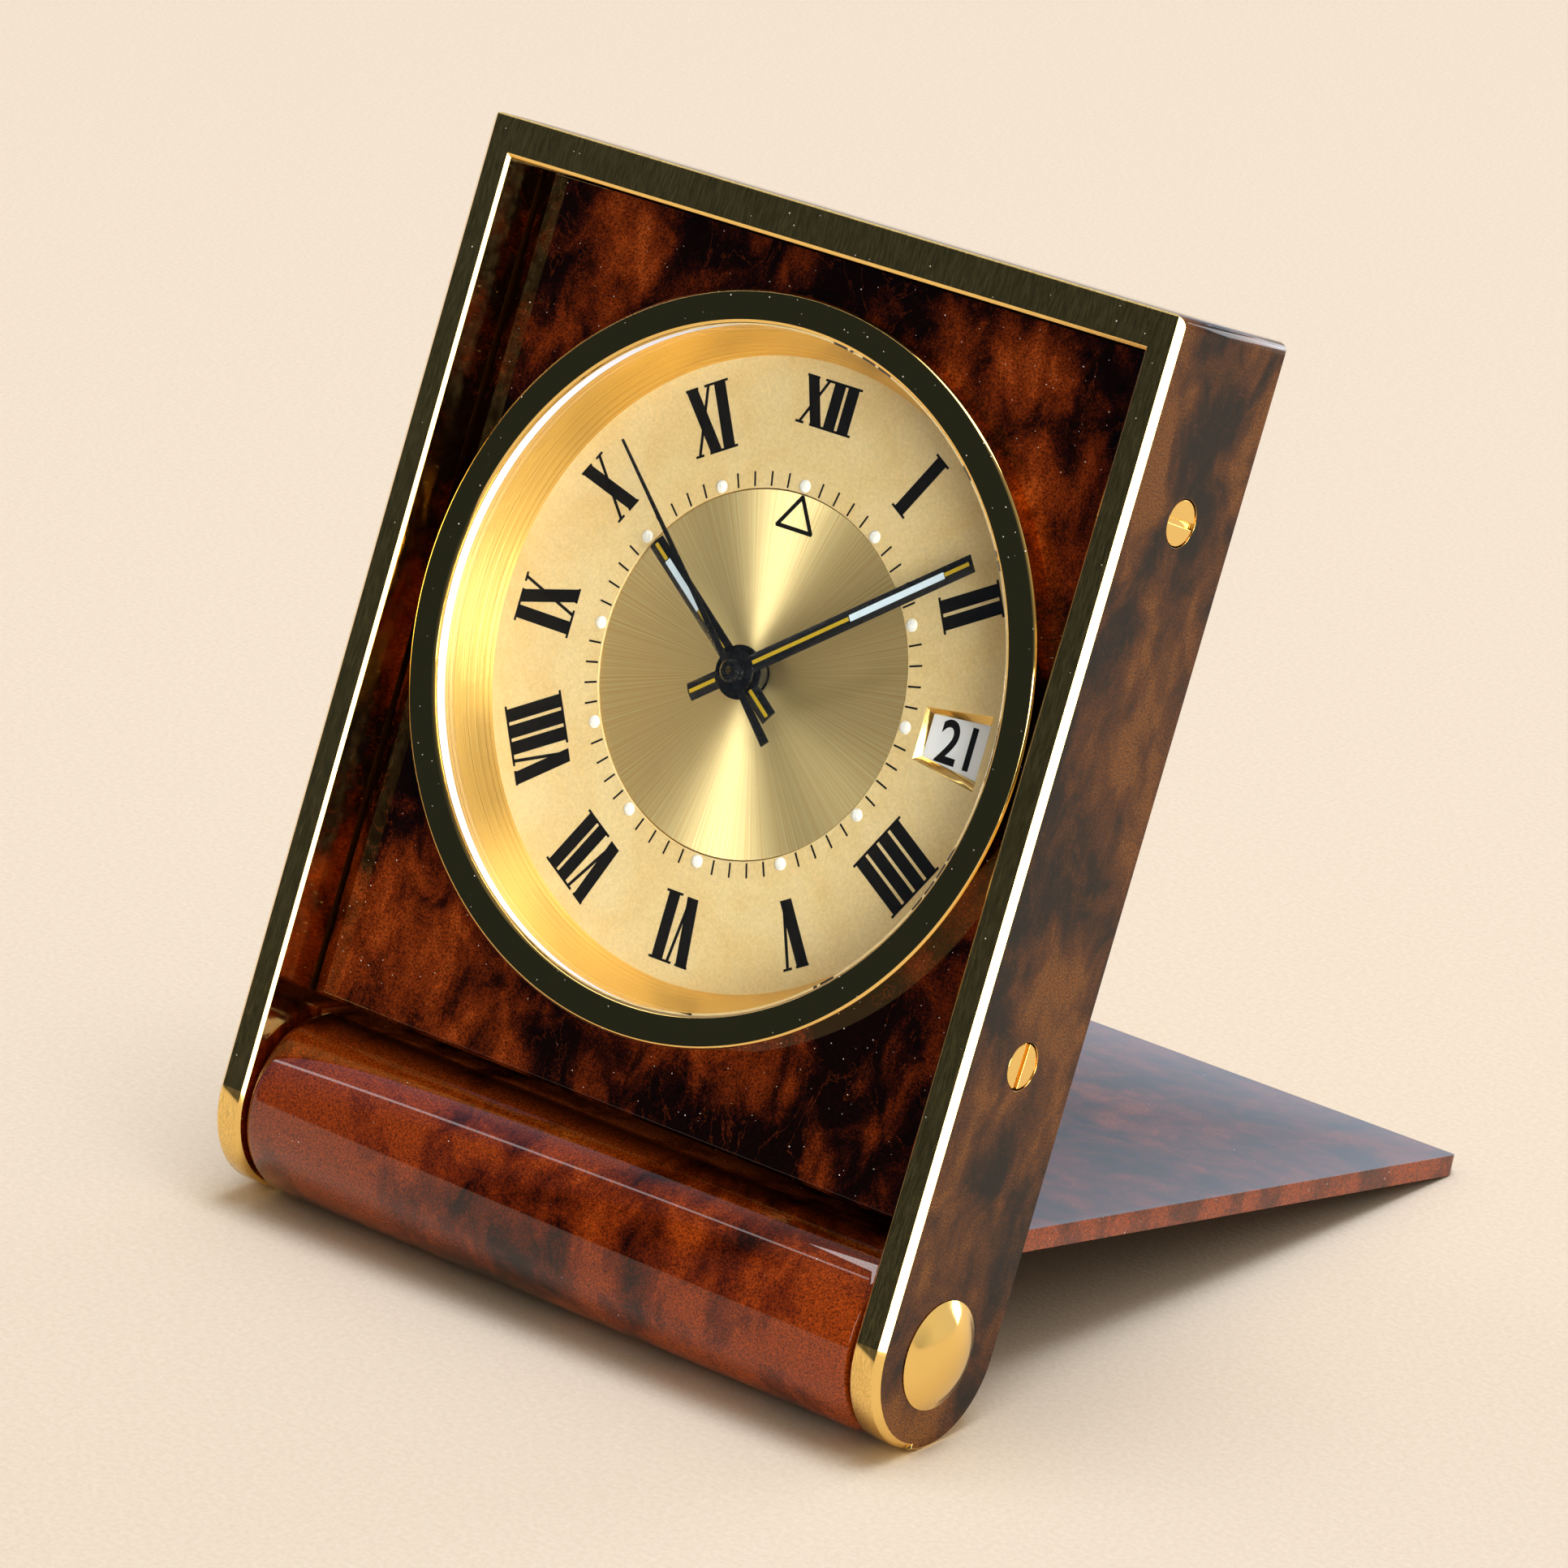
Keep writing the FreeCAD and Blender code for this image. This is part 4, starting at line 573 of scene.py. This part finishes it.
def printed_day(day):
    """The flat mesh of a day's number, centred on its own middle."""
    text = bpy.data.curves.new("day", "FONT")
    text.body = str(day)
    text.size = DAY_SIZE
    text.align_x = "CENTER"
    text.align_y = "CENTER"
    text.extrude = 0.008
    text.offset = 0.05
    written = bpy.data.objects.new("day", text)
    scene.collection.objects.link(written)
    bpy.context.view_layer.update()
    shape = bpy.data.meshes.new_from_object(written.evaluated_get(bpy.context.evaluated_depsgraph_get()))
    across = [vertex.co.x for vertex in shape.vertices]
    upwards = [vertex.co.y for vertex in shape.vertices]
    middle, height = (max(across) + min(across)) / 2, (max(upwards) + min(upwards)) / 2
    shape.transform(Matrix.Translation((-middle, -height, 0)))
    bpy.data.objects.remove(written)
    bpy.data.curves.remove(text)
    return shape


days = bmesh.new()
for day in range(1, 32):
    shape = printed_day(day)
    shape.transform(Matrix.Diagonal((DAY_NARROWING, 1, 1, 1)))
    turn = Matrix.Rotation(radians((day - SHOWN_DAY) * 360 / 31), 4, "Z")
    shape.transform(turn @ Matrix.Translation((DAY_CIRCLE, 0, DAY_LEVEL)))
    days.from_mesh(shape)
    bpy.data.meshes.remove(shape)
bmesh.ops.remove_doubles(days, verts=days.verts, dist=1e-4)
new_piece("day_numbers", days, [ink], "date")

# ---- Alarm disc
# The middle of the dial turns to set the alarm. It is brushed in fine rays from its centre, plated
# like the dial, and printed with an open triangle that points to the alarm time.
rays = material("champagne_sunray", (0.92, 0.72, 0.36), Metallic=1.0, Roughness=0.60, Anisotropic=0.93)
parts = add_node(rays, "SeparateXYZ", {0: face_place(rays, DIAL_CENTRE)})
angle = reckon(rays, "ARCTAN2", parts.outputs[1], parts.outputs[0])
fine = noise(rays, add_node(rays, "CombineXYZ", {0: angle}).outputs[0], 70.0, 3.0, 0.8)
feed(rays, "Base Color", ramp(rays, fine, [(0.34, (0.86, 0.57, 0.22)), (0.66, (1.0, 0.92, 0.50))]))

# The scratches run along the rays, so the highlight spreads across them, round the centre.
where = add_node(rays, "TexCoord").outputs["Object"]
reach = add_node(rays, "VectorMath", {0: where, 1: DIAL.translation}, operation="SUBTRACT").outputs[0]
across_ray = {0: tuple(outward), 1: reach}
across_ray = add_node(rays, "VectorMath", across_ray, operation="CROSS_PRODUCT").outputs[0]
across_ray = add_node(rays, "VectorMath", {0: across_ray}, operation="NORMALIZE").outputs[0]
across_ray = add_node(rays, "VectorTransform", {0: across_ray}, vector_type="VECTOR",
                      convert_from="OBJECT", convert_to="WORLD").outputs[0]
feed(rays, "Tangent", across_ray)
reworked("alarm_disc", [rays], edge=0.02)

POINTER_LEVEL, POINTER_WIDTH, POINTER_OVERRUN = DIAL_FRONT - 0.1, 0.22, 0.07
corners = [Vector((0, 9.33)), Vector((-1.08, 7.65)), Vector((1.08, 7.65))]
pointer = bmesh.new()
for first, second in zip(corners, corners[1:] + corners[:1]):
    run = second - first
    middle = Matrix.Translation((*(first + run / 2), 0))
    turn = middle @ Matrix.Rotation(run.angle_signed(Vector((0, 1))), 4, "Z")
    half = run.length / 2 + POINTER_OVERRUN
    stroke(pointer, (0, -half), (0, half), POINTER_WIDTH, turn, POINTER_LEVEL)
new_piece("alarm_pointer", pointer, [ink], "alarm_setting")

# ---- Hour and minute hands
# Ridged batons, painted black, each with a fine yellow line along its ridge and a slot filled with
# pale luminous paint. They are pressed on the pipes of the motion work.
SHOWN_MINUTE, LINE_WIDTH = 8.867, 0.2
hand_paint = material("hand_black", (0.006, 0.006, 0.006), Roughness=0.25, Specular_IOR_Level=0.3)
uneven_gloss(hand_paint, scale=5.0, detail=3.0, least=0.16, most=0.3)
yellow = material("hand_line_yellow", (0.62, 0.40, 0.02), Roughness=0.35, Metallic=0.3)
grainy(yellow, scale=8.0, detail=2.0, strength=0.3, depth=0.01)
pale = material("luminous_pale", (0.60, 0.70, 0.74), Roughness=0.55)
grainy(pale, scale=9.0, detail=3.0, strength=0.5, depth=0.02)

# For each hand: its name, its body, its turn in degrees, the level of its ridge, and the stretches
# of its line from the boss to the slot, from the slot to the tip, and along the tail.
hands = (
    ("hour", "hours", 30 * (10 + SHOWN_MINUTE / 60), 0.78, ((1.55, 4.1), (7.5, 8.6), (-2.95, -1.2))),
    ("minute", "minutes", 6 * SHOWN_MINUTE, 1.18, ((1.2, 7.3), (13.3, 14.8), (-2.85, -1.2))),
)
for name, rider, shown, ridge, stretches in hands:
    reworked(name + "_hand", [hand_paint], edge=0.02)
    reworked(name + "_hand_insert", [pale])
    lines = bmesh.new()
    for start, end in stretches:
        stroke(lines, (0, start), (0, end), LINE_WIDTH, Matrix.Rotation(-radians(shown), 4, "Z"), ridge)
    new_piece(name + "_hand_line", lines, [yellow], rider)

# The pipe of the hour wheel is black like the hands where it stands above the dial.
pipe = reworked("hour_wheel", [gilt, hand_paint])
for face in pipe.data.polygons:
    if (to_face @ face.center).z > DIAL_FRONT - 0.05:
        face.material_index = 1

# ---- Seconds hand
# A thin black sweep hand with a counterweight tail. It is riveted to a small hub, pressed on the
# long pin of the fourth wheel, which shows as a bright point.
BOSS_FROM, BOSS_TO, HUB_SHARE, PIN_LEVEL = 0.5, 0.87, 0.72, 1.64

# The points round the boss are drawn in to the radius of the small hub.
sweep = reworked("seconds_hand", [hand_paint], edge=0.02)
for vertex in sweep.data.vertices:
    spot = DIAL.inverted() @ vertex.co
    if BOSS_FROM < Vector((spot.x, spot.y)).length < BOSS_TO:
        vertex.co = DIAL @ Vector((spot.x * HUB_SHARE, spot.y * HUB_SHARE, spot.z))
pin = bmesh.new()
bmesh.ops.create_cone(pin, cap_ends=True, segments=24, radius1=0.19, radius2=0.15, depth=0.1,
                      matrix=Matrix.Translation((0, 0, PIN_LEVEL)))
new_piece("seconds_pin", pin, [polished_brass], "seconds")

# ---- Movement
# The plates, bridges, wheels and levers inside the case: matt gilt brass plates and wheels, and
# polished steel pinions, ratchets, fork, hammer and stems. All of it is hidden when assembled.
for node, part in subparts.items():
    if part["material_slot"] in ("gilt", "steel"):
        metal = gilt if part["material_slot"] == "gilt" else steel
        frame["nodes"][node].data.materials[0] = metal

# ---- Crowns
# Two small fluted gilt knobs on the right of the case, the lower for winding and setting the
# time and the upper for the alarm.
for crown in ("time_crown", "alarm_crown"):
    reworked(crown, [polished_brass], edge=0.05)

# ---- Case back
# A shallow cap of brass, turned so that its face shows rings. It is pressed into the back of the
# case and closes the movement.
spun = material("brass_spun_back", BRASS, Metallic=1.0, Roughness=0.28)
flat = add_node(spun, "VectorMath", {0: face_place(spun, DIAL_CENTRE), 1: (1, 1, 0)}, operation="MULTIPLY")
reach = add_node(spun, "VectorMath", {0: flat.outputs[0]}, operation="LENGTH").outputs["Value"]
rings = noise(spun, add_node(spun, "CombineXYZ", {0: reach}).outputs[0], 8.0, 4.0, 0.8)
feed(spun, "Roughness", shades(spun, rings, 0.3, 0.7, 0.22, 0.36))
bump(spun, rings, strength=0.35, depth=0.012)
reworked("case_back", [spun], edge=0.05)

# ---- Table
# A plain cream surface with a fine paper grain, far larger than the clock that stands on it. It is
# part of the stage and not of the clock.
TABLE_HALF, FIBRES_PER_METRE = 4.0, 3000.0
table_work = bmesh.new()
bmesh.ops.create_grid(table_work, x_segments=1, y_segments=1, size=TABLE_HALF)
table_mesh = bpy.data.meshes.new("table")
table_work.to_mesh(table_mesh)
table_work.free()
cream = material("table_cream", (0.85, 0.80, 0.73), Roughness=0.85)
where = add_node(cream, "TexCoord").outputs["Object"]
fibre = noise(cream, where, FIBRES_PER_METRE, 3.0, 0.7)
feed(cream, "Base Color", ramp(cream, fibre, [(0.34, (0.80, 0.745, 0.67)), (0.66, (0.87, 0.825, 0.76))]))
bump(cream, fibre, strength=0.5, depth=0.06)
table_mesh.materials.append(cream)
table = bpy.data.objects.new("table", table_mesh)
scene.collection.objects.link(table)

# ---- Studio light
# Polished metal and lacquer mirror a room that is dark in front, warm at the right, and cool and
# bright behind. Matt surfaces are filled by a soft warm dome, and the camera sees a cream backdrop.
world = bpy.data.worlds.new("studio")
scene.world = world
world.use_nodes = True
direction = add_node(world, "TexCoord").outputs["Generated"]
around = add_node(world, "TexGradient", {0: direction}, gradient_type="RADIAL").outputs["Fac"]

# The stops run once round the room: from the left, by the front, the right and behind, to the left.
COOL_SIDE, FRONT, DARK_BAND = (0.42, 0.42, 0.62), (0.055, 0.075, 0.105), (0.018, 0.027, 0.042)
BRIGHT_BEHIND = (0.98, 1.09, 1.28)
walls = ramp(world, around, [
    (0.00, COOL_SIDE), (0.05, (0.26, 0.26, 0.38)), (0.09, FRONT), (0.125, FRONT), (0.14, DARK_BAND),
    (0.17, DARK_BAND), (0.185, FRONT), (0.31, (0.030, 0.038, 0.055)), (0.44, (0.30, 0.28, 0.25)),
    (0.56, (0.85, 0.78, 0.68)), (0.70, (0.75, 0.71, 0.68)), (0.79, BRIGHT_BEHIND),
    (0.90, BRIGHT_BEHIND), (1.00, COOL_SIDE),
])
height = add_node(world, "SeparateXYZ", {0: direction}).outputs[2]
sky = blend_colour(world, shades(world, height, 0.75, 1.0), walls, (0.26, 0.24, 0.22, 1))
fill = blend_colour(world, height, (0.26, 0.17, 0.09, 1), (0.58, 0.46, 0.32, 1))
seen_by = add_node(world, "LightPath").outputs
colour = blend_colour(world, seen_by["Is Glossy Ray"], fill, sky)
colour = blend_colour(world, seen_by["Is Camera Ray"], colour, (0.84, 0.75, 0.62, 1))
world.node_tree.links.new(colour, world.node_tree.nodes["Background"].inputs["Color"])


AIM = Vector((0, 0, 0.03))


def lamp(name, towards, distance, width, height, power, colour=(1, 1, 1), long_side=(0, 0, 1)):
    """A rectangular soft light that looks at the clock, its height measured along long_side."""
    light = bpy.data.lights.new(name, "AREA")
    light.shape = "RECTANGLE"
    light.size, light.size_y = width, height
    light.energy = power
    light.color = colour
    holder = bpy.data.objects.new(name, light)
    scene.collection.objects.link(holder)
    away = Vector(towards).normalized()
    side = Vector(long_side).cross(away).normalized()
    holder.matrix_world = Matrix((side, away.cross(side), away)).transposed().to_4x4()
    holder.location = AIM + away * distance
    holder.visible_camera = False
    return holder


# A large soft light overhead, one at the right, one low behind for the domes of the studs, and a
# narrow strip above and to the left, for the highlight along the cover's barrel.
WARM_WHITE = (1.0, 0.99, 0.98)
lamp("overhead", (0.05, 0.07, 0.99), distance=1.5, width=0.8, height=0.8, power=14.2, colour=WARM_WHITE)
right_side = lamp("right_side", (0.808, -0.545, 0.225), distance=1.6, width=0.76, height=0.8, power=23.2,
                  colour=WARM_WHITE)
lamp("behind", (0.24, 0.97, 0.12), distance=1.6, width=1.0, height=0.6, power=9.0,
     colour=(0.93, 0.96, 1.0))
lamp("strip", (-0.559, -0.264, 0.786), distance=0.8, width=0.03, height=0.9, power=0.32,
     long_side=(0.82, 0, 0.57))

# The light at the right leaves the table out, so that it throws no long shadow there.
spared = bpy.data.collections.new("not_lit_by_right_side")
spared.objects.link(table)
spared.collection_objects[0].light_linking.link_state = "EXCLUDE"
right_side.light_linking.receiver_collection = spared

# ---- Camera
# It looks down on the clock from the front and its right, with a long lens, from about 0.4 m away.
# The clock fills most of the frame.
camera = bpy.data.objects.new("camera", bpy.data.cameras.new("camera"))
scene.collection.objects.link(camera)
camera.data.sensor_width = 36
camera.data.lens = 171.48
camera.data.shift_x = -0.0307
camera.data.shift_y = -0.0278
forward = Vector((-0.5590, 0.7578, -0.3365)).normalized()
across = Vector((0.7825, 0.6163, 0.0881)).normalized()
upward = across.cross(forward).normalized()
camera.matrix_world = Matrix((across, upward, -forward)).transposed().to_4x4()
camera.location = (0.21536, -0.298345, 0.15677)
scene.camera = camera
scene.view_settings.view_transform = "Standard"
